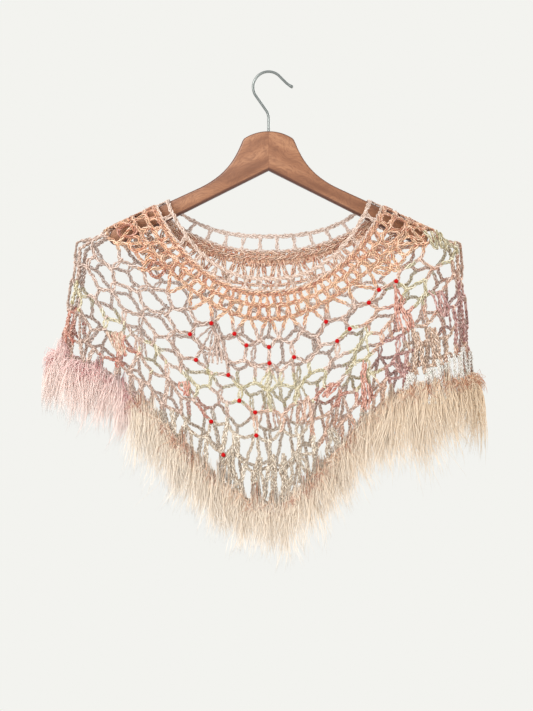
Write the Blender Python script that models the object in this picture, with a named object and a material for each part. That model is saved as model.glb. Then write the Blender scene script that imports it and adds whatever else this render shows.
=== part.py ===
"""A crocheted lace capelet with a hair fringe, hanging on a wooden coat hanger.

The lace is worked in rounds from the neck down: a cord with a round of square eyelets, a yoke with a round
of small rings, then a net of six-sided meshes, and a fringe on a narrow tape under the hem. Front and back
are separate walls that meet along the shoulders and down the sides.

A point of the lace is named by two numbers. Across runs from -1 at the left side, as seen from the front,
to 1 at the right side. Down runs from 0 at the neck to 1 at the hem. X is to the right, Y to the back and
Z up, in metres, and the origin is under the top of the hook, where a rail carries it.
"""

import math
import random

import bmesh
import bpy
from mathutils import Vector

MM = 0.001
GAP = 0.3 * MM

# The hanger: a flat wooden bow with a steel wire hook.
WIRE_RADIUS = 1.9 * MM
WIRE_TIP_SWELL = 1.25
HOOK_RADIUS = 21.6 * MM
HOOK_BACK_ANGLE = math.radians(215)
HOOK_NOSE_ANGLE = math.radians(45)
NOSE_STRAIGHT = 17 * MM
NOSE_TIP = Vector((5.5 * MM, -3.0 * MM))
STEM_BEND = 6 * MM
STEM_DEPTH = 20 * MM
STEM_CLEARANCE = 0.3 * MM
BOW_THICKNESS = 13 * MM
BOW_EDGE_ROUND = 5.5 * MM
HEAD_TOP = -82 * MM
HEAD_HALF_WIDTH = 34 * MM
HEAD_RISE = 10 * MM
ARM_START = Vector((95 * MM, -160.5 * MM))
ARM_SLOPE = 0.46
ARM_HALF_SPAN = 222 * MM
UNDER_APEX = -137 * MM
UNDER_SLOPE = 0.50

# The curve from the head's corner to the arm: where it starts from the corner, and its two pulls.
FLARE_START = Vector((2.5 * MM, -3.5 * MM))
FLARE_PULLS = (Vector((47 * MM, -122 * MM)), Vector((60 * MM, -143 * MM)))

# The arm's tip: how far before its end the curve leaves each edge, and how far past it the edge pulls.
TIP_TOP = {"leaves": 12 * MM, "pull": 8 * MM}
TIP_UNDER = {"leaves": 19 * MM, "pull": 4 * MM}
DRILL_ABOVE = 10 * MM

# The lace: its corners on the right and the left, and the heights of its neck and hem in the middle.
NECK_HALF = 139 * MM
SHOULDER_HALF = 268 * MM
HEM_CORNER = {
    "left": Vector((292 * MM, -394 * MM)),
    "right": Vector((285 * MM, -426 * MM)),
}
NECK_MIDDLE = {"front": -288 * MM, "back": -223 * MM}
HEM_MIDDLE = {"front": -598 * MM, "back": -608 * MM}
PANEL_DEPTH = {"front": 40 * MM, "back": 36 * MM}
OUTWARD = {"front": -1.0, "back": 1.0}
HEM_POINT_WIDTH = {"left": 0.60, "right": 0.46}
EDGE_ROLL = 42 * MM
HEM_FLARE = 7 * MM
WAVE_DEPTH = 4 * MM
WAVE_TURNS = {"front": 3.0, "back": 2.5}
WAVE_START = 0.6
NECK_CURVE = {"in_middle": 2.5, "at_shoulder": 0.88}
WALL = 2.0 * MM
YOKE_WALL = 3.0 * MM
SEAM = 0.4 * MM
REST = 0.6 * MM

# Columns of meshes across each side. Eyelets are one column wide and rings half a column.
COLUMNS = {"front": 15, "back": 13}
CORD_END = 0.013
EYELETS_END = 0.065
RIDGE_END = 0.120
RINGS_END = 0.178
YOKE_END = 0.200
EYELET_POST = 3.6 * MM
RING_STRAND = 4.6 * MM
RING_CUT = 0.3
NET_STRAND = 5.0 * MM
CORNER_STRETCH = 1.25
ZIGZAG = 0.017
COLUMN_SCATTER = 0.17
DOWN_SCATTER = 0.011

# Where each round of the net starts, as a share of the way down, with the hem last.
NET_ROUNDS = (
    {"at_side": 0.200, "at_middle": 0.200},
    {"at_side": 0.320, "at_middle": 0.297},
    {"at_side": 0.430, "at_middle": 0.390},
    {"at_side": 0.540, "at_middle": 0.488},
    {"at_side": 0.655, "at_middle": 0.594},
    {"at_side": 0.770, "at_middle": 0.711},
    {"at_side": 0.885, "at_middle": 0.846},
    {"at_side": 1.000, "at_middle": 1.000},
)

# The fringe: a tape under the hem, and locks of hair that hang from it.
TAPE_HEIGHT = 4 * MM
TAPE_THICKNESS = 5 * MM
LOCK_PITCH = 10.5 * MM
LOCK_INSET = 0.8 * MM
LOCK_BELLY = 0.5
LOCK_LENGTH = {"pink": 68 * MM, "cream": 86 * MM}
MIDDLE_TRIM = {"front": 11 * MM, "back": 24 * MM}
MIDDLE_WIDTH = 0.32
LENGTH_SCATTER = 0.12
LOCK_LEAN = 0.14
EDGE_LEAN = {"left": 0.18, "right": 0.02}
EDGE_START = 0.80
PINK_STEPS = 6

COLOURS = {
    "steel": {"colour": (0.62, 0.63, 0.61), "roughness": 0.25, "metallic": 1.0},
    "wood": {"colour": (0.42, 0.20, 0.10), "roughness": 0.45, "metallic": 0.0},
    "taupe_yarn": {"colour": (0.50, 0.38, 0.30), "roughness": 0.85, "metallic": 0.0},
    "peach_yarn": {"colour": (0.78, 0.42, 0.25), "roughness": 0.75, "metallic": 0.0},
    "blush_yarn": {"colour": (0.66, 0.44, 0.34), "roughness": 0.85, "metallic": 0.0},
    "pink_hair": {"colour": (0.80, 0.52, 0.47), "roughness": 0.6, "metallic": 0.0},
    "cream_hair": {"colour": (0.80, 0.62, 0.46), "roughness": 0.6, "metallic": 0.0},
}


def mix(start, end, share):
    return start + (end - start) * share


def material(name):
    """The Principled material of this colour, made at its first use."""
    found = bpy.data.materials.get(name)
    if found:
        return found
    made = bpy.data.materials.new(name)
    made.use_nodes = True
    shader = made.node_tree.nodes["Principled BSDF"]
    shader.inputs["Base Color"].default_value = (*COLOURS[name]["colour"], 1)
    shader.inputs["Roughness"].default_value = COLOURS[name]["roughness"]
    shader.inputs["Metallic"].default_value = COLOURS[name]["metallic"]
    return made


def add_object(name, data, colour):
    data.materials.append(material(colour))
    made = bpy.data.objects.new(name, data)
    bpy.context.scene.collection.objects.link(made)
    return made


def object_from_bmesh(name, shape, colour):
    bmesh.ops.recalc_face_normals(shape, faces=shape.faces)
    if shape.calc_volume(signed=True) < 0:
        bmesh.ops.reverse_faces(shape, faces=shape.faces)
    mesh = bpy.data.meshes.new(name)
    shape.to_mesh(mesh)
    shape.free()
    return add_object(name, mesh, colour)


# The hanger


def arc(centre, radius, start, end, count):
    """Points on a circle from one angle to another, both ends included."""
    angles = [mix(start, end, i / (count - 1)) for i in range(count)]
    return [centre + radius * Vector((math.cos(a), math.sin(a))) for a in angles]


def bezier(a, b, c, d, count):
    """Points on a cubic curve, both ends included."""
    shares = [i / (count - 1) for i in range(count)]
    return [
        a * (1 - t) ** 3 + b * 3 * t * (1 - t) ** 2 + c * 3 * t * t * (1 - t) + d * t**3
        for t in shares
    ]


def arm_top(x):
    """Height of the arms' upper edge."""
    return ARM_START.y - ARM_SLOPE * (x - ARM_START.x)


def arm_underside(x):
    return UNDER_APEX - UNDER_SLOPE * x


def half_bow_outline():
    """The right half of the bow seen from the front, from the top of its head round to the arch."""
    corner = HEAD_TOP - HEAD_RISE
    dome_radius = (HEAD_HALF_WIDTH**2 + HEAD_RISE**2) / (2 * HEAD_RISE)
    half_angle = math.asin(HEAD_HALF_WIDTH / dome_radius)
    up = math.pi / 2
    dome = arc(Vector((0, HEAD_TOP - dome_radius)), dome_radius, up, up - half_angle, 5)
    flare_start = Vector((HEAD_HALF_WIDTH, corner)) + FLARE_START
    flare = bezier(flare_start, *FLARE_PULLS, ARM_START, 7)
    top_end, top_pull = ARM_HALF_SPAN - TIP_TOP["leaves"], ARM_HALF_SPAN + TIP_TOP["pull"]
    low_end, low_pull = ARM_HALF_SPAN - TIP_UNDER["leaves"], ARM_HALF_SPAN + TIP_UNDER["pull"]
    tip = bezier(
        Vector((top_end, arm_top(top_end))),
        Vector((top_pull, arm_top(top_pull))),
        Vector((low_pull, arm_underside(low_pull))),
        Vector((low_end, arm_underside(low_end))),
        6,
    )
    return dome + flare + tip


def bow():
    """The wooden bow, its edges rounded, with a blind hole in its head for the hook's stem."""
    right = half_bow_outline()
    left = [Vector((-p.x, p.y)) for p in reversed(right[1:])]
    outline = [*right, Vector((0, UNDER_APEX)), *left]
    shape = bmesh.new()
    rim = [shape.verts.new((p.x, -BOW_THICKNESS / 2, p.y)) for p in outline]
    front = shape.faces.new(rim)
    grown = bmesh.ops.extrude_face_region(shape, geom=[front])["geom"]
    moved = [g for g in grown if isinstance(g, bmesh.types.BMVert)]
    bmesh.ops.translate(shape, verts=moved, vec=(0, BOW_THICKNESS, 0))
    along = [e for e in shape.edges if abs(e.verts[0].co.y - e.verts[1].co.y) < GAP]
    bmesh.ops.bevel(
        shape,
        geom=along,
        offset=BOW_EDGE_ROUND,
        segments=2,
        profile=0.5,
        affect="EDGES",
        clamp_overlap=True,
        material=-1,
    )
    wood = object_from_bmesh("hanger_bow", shape, "wood")
    drill_stem_hole(wood)


def drill_stem_hole(wood):
    """Cuts the blind hole that the hook's stem stands in."""
    shape = bmesh.new()
    bmesh.ops.create_cone(
        shape,
        cap_ends=True,
        segments=10,
        radius1=WIRE_RADIUS + STEM_CLEARANCE * 2,
        radius2=WIRE_RADIUS + STEM_CLEARANCE * 2,
        depth=STEM_DEPTH + STEM_CLEARANCE + DRILL_ABOVE,
    )
    middle = HEAD_TOP + (DRILL_ABOVE - STEM_DEPTH - STEM_CLEARANCE) / 2
    bmesh.ops.translate(shape, verts=shape.verts, vec=(0, 0, middle))
    drill = object_from_bmesh("stem_drill", shape, "steel")
    drill.hide_render = True
    drill.display_type = "WIRE"
    cut = wood.modifiers.new("stem hole", "BOOLEAN")
    cut.operation = "DIFFERENCE"
    cut.object = drill


def hook_route():
    """The middle of the hook's wire in the XZ plane, from the stem's foot to the nose."""
    centre = Vector((0, WIRE_RADIUS - HOOK_RADIUS))
    round_part = arc(centre, HOOK_RADIUS, HOOK_BACK_ANGLE, HOOK_NOSE_ANGLE, 16)
    back_way = Vector((-math.sin(HOOK_BACK_ANGLE), math.cos(HOOK_BACK_ANGLE)))
    to_stem = -round_part[0].x / back_way.x
    elbow = round_part[0] + back_way * to_stem
    stem_turn = bezier(
        elbow - Vector((0, STEM_BEND)),
        elbow - Vector((0, STEM_BEND / 3)),
        elbow - back_way * STEM_BEND / 3,
        elbow - back_way * STEM_BEND,
        5,
    )
    nose_way = Vector((math.sin(HOOK_NOSE_ANGLE), -math.cos(HOOK_NOSE_ANGLE)))
    nose_start = round_part[-1] + nose_way * NOSE_STRAIGHT / 2
    nose_turn = round_part[-1] + nose_way * NOSE_STRAIGHT
    nose = bezier(
        nose_start,
        mix(nose_start, nose_turn, 0.7),
        nose_turn,
        nose_turn + NOSE_TIP,
        6,
    )
    foot = Vector((0, HEAD_TOP - STEM_DEPTH))
    return [foot, *stem_turn, *round_part, *nose]


def hook():
    """The wire hook, a round steel wire with a slightly swollen nose."""
    points = hook_route()
    wire = bpy.data.curves.new("hanger_hook", "CURVE")
    wire.dimensions = "3D"
    wire.bevel_depth = WIRE_RADIUS
    wire.bevel_resolution = 2
    wire.use_fill_caps = True
    spline = wire.splines.new("POLY")
    spline.points.add(len(points) - 1)
    for knot, point in zip(spline.points, points, strict=True):
        knot.co = (point.x, 0, point.y, 1)
    spline.points[-1].radius = WIRE_TIP_SWELL
    spline.points[-2].radius = WIRE_TIP_SWELL
    add_object("hanger_hook", wire, "steel")


# The shape that the lace is worn in


def ridge(x):
    """Height of the lace's shoulder line, which lies on the arms and runs on past their ends."""
    steepness = math.hypot(1, ARM_SLOPE)
    return arm_top(x) + (REST + YOKE_WALL / 2) * steepness


def side_named(x):
    """The side of the lace where x lies."""
    return "left" if x < 0 else "right"


def outline(across, down):
    """The lace's edge on one side: out along the shoulder, round its corner and down to the hem."""
    end = HEM_CORNER[side_named(across)]
    corner = Vector((SHOULDER_HALF, ridge(SHOULDER_HALF)))
    shoulder = (corner - Vector((NECK_HALF, ridge(NECK_HALF)))).length
    turn = shoulder / (shoulder + (end - corner).length)
    if down < turn:
        x = mix(NECK_HALF, SHOULDER_HALF, down / turn)
        return Vector((x, ridge(x)))
    return corner.lerp(end, (down - turn) / (1 - turn))


def bell(across, width):
    """1 in the middle, falling to 0 at both sides."""
    foot = math.exp(-1 / width**2)
    return (math.exp(-((across / width) ** 2)) - foot) / (1 - foot)


def hem_bell(across):
    """How far down the pointed hem has come, from 0 at the sides to 1 in the middle."""
    return bell(across, HEM_POINT_WIDTH[side_named(across)])


def reach(x, z):
    """How far inside the outline a point lies, seen from the front."""
    end = HEM_CORNER[side_named(x)]
    flare = (end.x - SHOULDER_HALF) / (ridge(SHOULDER_HALF) - end.y)
    side_x = SHOULDER_HALF + (ridge(SHOULDER_HALF) - z) * flare
    from_shoulder = max((ridge(abs(x)) - z) / math.hypot(1, ARM_SLOPE), 0)
    from_side = max(side_x - abs(x), 0)
    return from_shoulder * from_side / (from_shoulder + from_side + 1e-9)


def roll_angle(x, z):
    """0 on the outline, where the lace turns over, and a quarter turn where it hangs flat."""
    return math.acos(1 - min(reach(x, z) / EDGE_ROLL, 1))


def lace_point(side, across, down):
    """A point in the middle of the lace wall."""
    edge = outline(across, down)
    z_middle = mix(NECK_MIDDLE[side], HEM_MIDDLE[side], down)
    flatness = min(abs(across), 1) ** NECK_CURVE["in_middle"]
    neck_curve = (1 - flatness) ** NECK_CURVE["at_shoulder"]
    sag = mix(neck_curve, hem_bell(across), down)
    x = across * edge.x
    z = mix(edge.y, z_middle, sag)
    wave = math.sin(math.pi * WAVE_TURNS[side] * across + WAVE_START)
    depth = PANEL_DEPTH[side] + (HEM_FLARE + WAVE_DEPTH * wave) * down**2
    y = GAP / 2 + depth * math.sin(roll_angle(x, z))
    return Vector((x, OUTWARD[side] * y, z))


def lace_normal(side, point):
    """The way out of the lace at a point: away from the outline on its edge, and out of the page inside."""
    step = 0.5 * MM
    angle = roll_angle(point.x, point.z)
    grow_x = reach(point.x + step, point.z) - reach(point.x - step, point.z)
    grow_z = reach(point.x, point.z + step) - reach(point.x, point.z - step)
    inwards = Vector((grow_x, 0, grow_z))
    flat = Vector((0, OUTWARD[side], 0))
    if inwards.length < 1e-9:
        return flat
    edge_on = inwards.normalized() * math.cos(angle) / EDGE_ROLL
    return (flat * math.sin(angle) / PANEL_DEPTH[side] - edge_on).normalized()


# Knots of the lace, by column and by line


def column_across(side, column):
    """How far across a column lies. Columns are spaced evenly round the girth of the hem."""
    columns = COLUMNS[side]
    roll_radius = (EDGE_ROLL + PANEL_DEPTH[side]) / 2
    roll_girth = roll_radius * math.pi / 2
    half = HEM_CORNER["left"].x
    girth = half - EDGE_ROLL + roll_girth
    from_side = min(column, 2 * columns - column) * girth / columns
    turned = EDGE_ROLL * (1 - math.cos(min(from_side, roll_girth) / roll_radius))
    share = 1 - (turned + max(from_side - roll_girth, 0)) / half
    return -share if column < columns else share


def round_knot(side, column, line):
    """Where a knot of the net lies, as shares across and down, with the scatter of handwork."""
    last = 2 * COLUMNS[side]
    start = NET_ROUNDS[line]
    moved = column
    lift = 0
    if 0 < line < len(NET_ROUNDS) - 1:
        lift = ZIGZAG if column % 2 == line % 2 else -ZIGZAG
        if 0 < column < last:
            scatter = random.Random(column + 100 * line + 10000 * len(side))
            moved += scatter.uniform(-1, 1) * COLUMN_SCATTER
            lift += scatter.uniform(-1, 1) * DOWN_SCATTER
    across = column_across(side, moved)
    down = mix(start["at_side"], start["at_middle"], hem_bell(across))
    return across, down + lift


class LaceWall:
    """One wall of lace, made as a sheet of faces with a hole in each mesh, and then given its thickness."""

    def __init__(self, side, thickness):
        self.side = side
        self.thickness = thickness
        self.shape = bmesh.new()
        self.knots = {}

    def knot(self, across, down):
        """The vertex at this place, made once."""
        key = (round(across, 6), round(down, 6))
        if key not in self.knots:
            place = lace_point(self.side, across, down)
            self.knots[key] = self.shape.verts.new(place)
        return self.knots[key]

    def strip(self, top, bottom):
        """A closed band between two lines of knots, each a list of (across, down)."""
        for i in range(len(top) - 1):
            corners = (top[i], top[i + 1], bottom[i + 1], bottom[i])
            self.shape.faces.new([self.knot(*c) for c in corners])

    def mesh(self, corners, strand, rounded=False):
        """One mesh of the lace: a ring of faces inside its corners, half a strand wide."""
        count = len(corners)
        middle = Vector(
            (sum(c[0] for c in corners) / count, sum(c[1] for c in corners) / count)
        )
        outer = [self.knot(*c) for c in corners]
        centre = lace_point(self.side, *middle)
        spans = [(v.co - centre).length for v in outer]
        shares = [strand / 2 * CORNER_STRETCH / span for span in spans]
        if rounded:
            self.round_ring(corners, outer, middle, shares)
            return
        inner = [
            self.knot(*Vector(c).lerp(middle, s))
            for c, s in zip(corners, shares, strict=True)
        ]
        for i in range(count):
            j = (i + 1) % count
            self.shape.faces.new((outer[i], outer[j], inner[j], inner[i]))

    def round_ring(self, corners, outer, middle, shares):
        """A ring whose hole has its corners cut off."""
        count = len(corners)
        inner = [Vector(c).lerp(middle, s) for c, s in zip(corners, shares, strict=True)]
        following = [*inner[1:], inner[0]]
        after = [
            self.knot(*a.lerp(b, RING_CUT)) for a, b in zip(inner, following, strict=True)
        ]
        before = [self.knot(*inner[i].lerp(inner[i - 1], RING_CUT)) for i in range(count)]
        for i in range(count):
            j = (i + 1) % count
            self.shape.faces.new((outer[i], outer[j], before[j], after[i]))
            self.shape.faces.new((outer[i], after[i], before[i]))

    def finish(self, name, colour):
        """Gives the sheet its thickness, half to each side of its middle."""
        faces = list(self.shape.faces)
        grown = bmesh.ops.extrude_face_region(self.shape, geom=faces)["geom"]
        raised = {g for g in grown if isinstance(g, bmesh.types.BMVert)}
        for vertex in self.shape.verts:
            normal = lace_normal(self.side, vertex.co)
            way = self.thickness / 2 if vertex in raised else -self.thickness / 2
            vertex.co += normal * way
        object_from_bmesh(name, self.shape, colour)


def level_line(side, down):
    """A line of knots at one height of the pattern."""
    return [(column_across(side, c), down) for c in range(2 * COLUMNS[side] + 1)]


def seam_share():
    """Half the gap between two rounds, as a share of the way down."""
    return SEAM / 2 / (NECK_MIDDLE["front"] - HEM_MIDDLE["front"])


def neck_edging(side):
    """The neck cord and the round of square eyelets under it."""
    wall = LaceWall(side, WALL)
    edge = level_line(side, 0)
    top = level_line(side, CORD_END)
    bottom = level_line(side, EYELETS_END - seam_share())
    wall.strip(edge, top)
    for column in range(0, 2 * COLUMNS[side], 2):
        upper, lower = top[column : column + 3], bottom[column : column + 3]
        wall.mesh([*upper, *reversed(lower)], EYELET_POST)
    wall.finish(f"neck_edging_{side}", "taupe_yarn")


def yoke(side):
    """The dense ridge, the round of small rings and the band that the net hangs from."""
    wall = LaceWall(side, YOKE_WALL)
    ridge_line = level_line(side, RIDGE_END)
    ring_line = level_line(side, RINGS_END)
    wall.strip(level_line(side, EYELETS_END + seam_share()), ridge_line)
    wall.strip(ring_line, level_line(side, YOKE_END - seam_share()))
    for column in range(2 * COLUMNS[side]):
        upper, lower = ridge_line[column : column + 2], ring_line[column : column + 2]
        wall.mesh([*upper, *reversed(lower)], RING_STRAND, rounded=True)
    wall.finish(f"yoke_{side}", "peach_yarn")


def net_line(side, line):
    """A line of the net's knots. The first and last stay clear of the yoke and the fringe tape."""
    clear = {0: seam_share(), len(NET_ROUNDS) - 1: -seam_share()}.get(line, 0)
    knots = [round_knot(side, column, line) for column in range(2 * COLUMNS[side] + 1)]
    return [(across, down + clear) for across, down in knots]


def net(side):
    """The net: rounds of six-sided meshes, each round half a mesh on from the one above."""
    wall = LaceWall(side, WALL)
    lines = [net_line(side, line) for line in range(len(NET_ROUNDS))]
    last = 2 * COLUMNS[side]
    for line in range(len(NET_ROUNDS) - 1):
        for start in range(-(line % 2), last, 2):
            low, high = max(start, 0), min(start + 2, last)
            upper = lines[line][low : high + 1]
            lower = lines[line + 1][low : high + 1]
            wall.mesh([*upper, *reversed(lower)], NET_STRAND)
    wall.finish(f"net_{side}", "blush_yarn")


# The fringe


def tape_section(side, across):
    """The four corners of the tape across its width at one place on the hem: top and bottom, out and in."""
    hem = lace_point(side, across, 1 + seam_share())
    out = lace_normal(side, hem) * TAPE_THICKNESS / 2
    low = hem - Vector((0, 0, TAPE_HEIGHT))
    return [hem + out, hem - out, low - out, low + out]


def tape_sections(side, first, last):
    """Sections of the tape from one column to another, a lock's width apart, clear of the next tape."""
    trim = GAP / 2 / HEM_CORNER["left"].x
    places = [column_across(side, column) for column in range(first, last + 1)]
    places[0] += trim if first > 0 else 0
    places[-1] -= trim if last < 2 * COLUMNS[side] else 0
    knots = [tape_section(side, across) for across in places]
    sections = []
    for here, there in zip(knots[:-1], knots[1:], strict=True):
        parts = max(round((there[0] - here[0]).length / LOCK_PITCH), 1)
        for part in range(parts):
            share = part / parts
            sections.append([a.lerp(b, share) for a, b in zip(here, there, strict=True)])
    return [*sections, knots[-1]]


def lock_tip(side, root, kind, scatter):
    """Where a lock of hair ends: shorter at the point of the hem, and fanned out at the sides."""
    across = root.x / HEM_CORNER["left"].x
    length = LOCK_LENGTH[kind] - MIDDLE_TRIM[side] * bell(across, MIDDLE_WIDTH)
    length *= 1 + scatter.uniform(-1, 1) * LENGTH_SCATTER
    edge = max(abs(across) - EDGE_START, 0) / (1 - EDGE_START)
    out = EDGE_LEAN["left"] if across < 0 else EDGE_LEAN["right"]
    sideways = LOCK_LEAN * across + math.copysign(out * edge, across)
    lean = Vector((sideways, OUTWARD[side] * LOCK_LEAN / 4, -1))
    return root + lean * length


def fringe(side, kind, first, last):
    """A tape under the hem from one column to another, with locks of hair grown from its lower face."""
    shape = bmesh.new()
    scatter = random.Random(first + 50 * last + len(side))
    rows = [
        [shape.verts.new(corner) for corner in section]
        for section in tape_sections(side, first, last)
    ]
    shape.faces.new(rows[0])
    shape.faces.new(rows[-1])
    undersides = []
    for here, there in zip(rows[:-1], rows[1:], strict=True):
        faces = [
            shape.faces.new((here[i], here[i - 3], there[i - 3], there[i]))
            for i in range(4)
        ]
        undersides.append(faces[2])
    bmesh.ops.recalc_face_normals(shape, faces=shape.faces)
    bmesh.ops.inset_individual(
        shape, faces=undersides, thickness=LOCK_INSET, use_even_offset=True
    )
    for face in undersides:
        root = face.calc_center_median()
        tip = lock_tip(side, root, kind, scatter)
        for share in (LOCK_BELLY, 1):
            grown = bmesh.ops.extrude_discrete_faces(shape, faces=[face])["faces"]
            face = grown[0]
            move = root.lerp(tip, share) - face.calc_center_median()
            bmesh.ops.translate(shape, verts=face.verts, vec=move)
        bmesh.ops.pointmerge(shape, verts=list(face.verts), merge_co=tip)
    object_from_bmesh(f"fringe_{kind}_{side}", shape, f"{kind}_hair")


def build():
    for old in list(bpy.data.objects):
        bpy.data.objects.remove(old)
    bow()
    hook()
    for side in ("front", "back"):
        neck_edging(side)
        yoke(side)
        net(side)
        fringe(side, "pink", 0, PINK_STEPS)
        fringe(side, "cream", PINK_STEPS, 2 * COLUMNS[side])


build()
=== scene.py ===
# %% [markdown]
# # A crocheted lace capelet with a hair fringe, on a wooden hanger
#
# The solids of this capelet are already made, with their real sizes and places. This lesson
# dresses them: each lace wall is worked again in yarn, the locks of the fringe become hair, and
# the hanger gets its grain and its polish. We start by loading the solids. Nothing that we add
# may outgrow it by much.

import math
import random
from types import SimpleNamespace

import bmesh
import bpy
import numpy as np
from mathutils import Matrix, Vector


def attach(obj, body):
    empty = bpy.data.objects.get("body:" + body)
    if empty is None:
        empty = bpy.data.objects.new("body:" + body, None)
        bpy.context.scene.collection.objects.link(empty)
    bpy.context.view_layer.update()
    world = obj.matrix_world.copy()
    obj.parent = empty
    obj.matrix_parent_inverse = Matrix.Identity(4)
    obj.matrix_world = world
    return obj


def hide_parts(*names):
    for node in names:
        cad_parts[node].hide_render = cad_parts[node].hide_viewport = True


MM = 0.001
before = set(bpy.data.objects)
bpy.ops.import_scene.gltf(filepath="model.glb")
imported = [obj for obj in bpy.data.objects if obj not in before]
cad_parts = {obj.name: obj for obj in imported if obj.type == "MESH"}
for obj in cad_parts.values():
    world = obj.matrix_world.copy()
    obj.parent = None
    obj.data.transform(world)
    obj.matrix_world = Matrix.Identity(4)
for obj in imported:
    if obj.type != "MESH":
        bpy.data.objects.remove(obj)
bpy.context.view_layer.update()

# %% [markdown]
# ## The room: camera, light and floor
#
# The capelet was photographed straight on, a little under two metres away, with soft light from
# the upper left of a pale room. A camera that looks level along +Y gives that view. One strong,
# wide lamp gives the soft shadows. Two weaker ones and the room's own light fill them. A pale
# floor lies far below the hanging capelet.

# %% Camera
PICTURE_HEIGHT = 0.9954
CAMERA_DISTANCE = 1.9
SENSOR_HEIGHT = 24.0
LOOK_AT = Vector((-0.0029, 0.0, -0.3955))

camera_data = bpy.data.cameras.new("camera")
camera_data.sensor_fit = "VERTICAL"
camera_data.sensor_height = SENSOR_HEIGHT
camera_data.lens = SENSOR_HEIGHT * CAMERA_DISTANCE / PICTURE_HEIGHT
camera = bpy.data.objects.new("camera", camera_data)
camera.location = LOOK_AT - Vector((0, CAMERA_DISTANCE, 0))
camera.rotation_euler = (math.radians(90), 0, 0)
bpy.context.scene.collection.objects.link(camera)
bpy.context.scene.camera = camera
print("lens:", round(camera_data.lens, 1), "mm")

# %% Light
ROOM_COLOUR = (0.896, 0.896, 0.863, 1.0)
ROOM_LIGHT = 0.86
# A lamp: its name, place, size in metres, power in watts and colour.
LAMPS = (
    ("window", (-1.3, -1.7, 0.8), 1.3, 44, (1.0, 0.985, 0.96)),
    ("bounce", (1.5, -1.2, -0.9), 1.6, 9, (1.0, 0.99, 0.98)),
    ("behind", (1.2, 1.8, 0.7), 1.4, 24, (1.0, 0.99, 0.97)),
)

world = bpy.data.worlds.new("room")
world.use_nodes = True
bpy.context.scene.world = world
room_nodes, room_links = world.node_tree.nodes, world.node_tree.links
seen = room_nodes["Background"]
seen.inputs["Color"].default_value = ROOM_COLOUR
lighting = room_nodes.new("ShaderNodeBackground")
lighting.inputs["Color"].default_value = (1, 1, 1, 1)
lighting.inputs["Strength"].default_value = ROOM_LIGHT
ray = room_nodes.new("ShaderNodeLightPath")
either = room_nodes.new("ShaderNodeMixShader")
room_links.new(ray.outputs["Is Camera Ray"], either.inputs["Fac"])
room_links.new(lighting.outputs[0], either.inputs[1])
room_links.new(seen.outputs[0], either.inputs[2])
room_links.new(either.outputs[0], room_nodes["World Output"].inputs["Surface"])
bpy.context.scene.view_settings.view_transform = "Standard"

for name, place, size, watts, colour in LAMPS:
    lamp_data = bpy.data.lights.new(name, "AREA")
    lamp_data.size = size
    lamp_data.energy = watts
    lamp_data.color = colour
    lamp = bpy.data.objects.new(name, lamp_data)
    lamp.location = place
    lamp.rotation_euler = (LOOK_AT - lamp.location).to_track_quat("-Z", "Y").to_euler()
    bpy.context.scene.collection.objects.link(lamp)
print("lamps:", len(LAMPS))

# %% [markdown]
# ## Writing materials as sums
#
# A material's nodes are easier to read as arithmetic. A Wire is the output of a node: adding,
# subtracting or multiplying wires adds the Math nodes. A Finish is one material, and its node
# method adds any other node from its type, its settings and what its sockets get. Its short
# methods, such as noise, blend and fade, name the nodes that the lesson needs often.


# %% Wires and finishes
class Wire:
    """A node's output, with arithmetic."""

    def __init__(self, finish, socket):
        self.finish = finish
        self.socket = socket

    def math(self, operation, first, second=0.0):
        settings = {"operation": operation}
        return self.finish.node("ShaderNodeMath", settings, {0: first, 1: second})

    def __add__(self, other):
        return self.math("ADD", self, other)

    __radd__ = __add__

    def __mul__(self, other):
        return self.math("MULTIPLY", self, other)

    __rmul__ = __mul__

    def __sub__(self, other):
        return self.math("SUBTRACT", self, other)

    def __rsub__(self, other):
        return self.math("SUBTRACT", other, self)

    def sine(self):
        return self.math("SINE", self)

    def cosine(self):
        return self.math("COSINE", self)

    def size(self):
        return self.math("ABSOLUTE", self)


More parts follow.
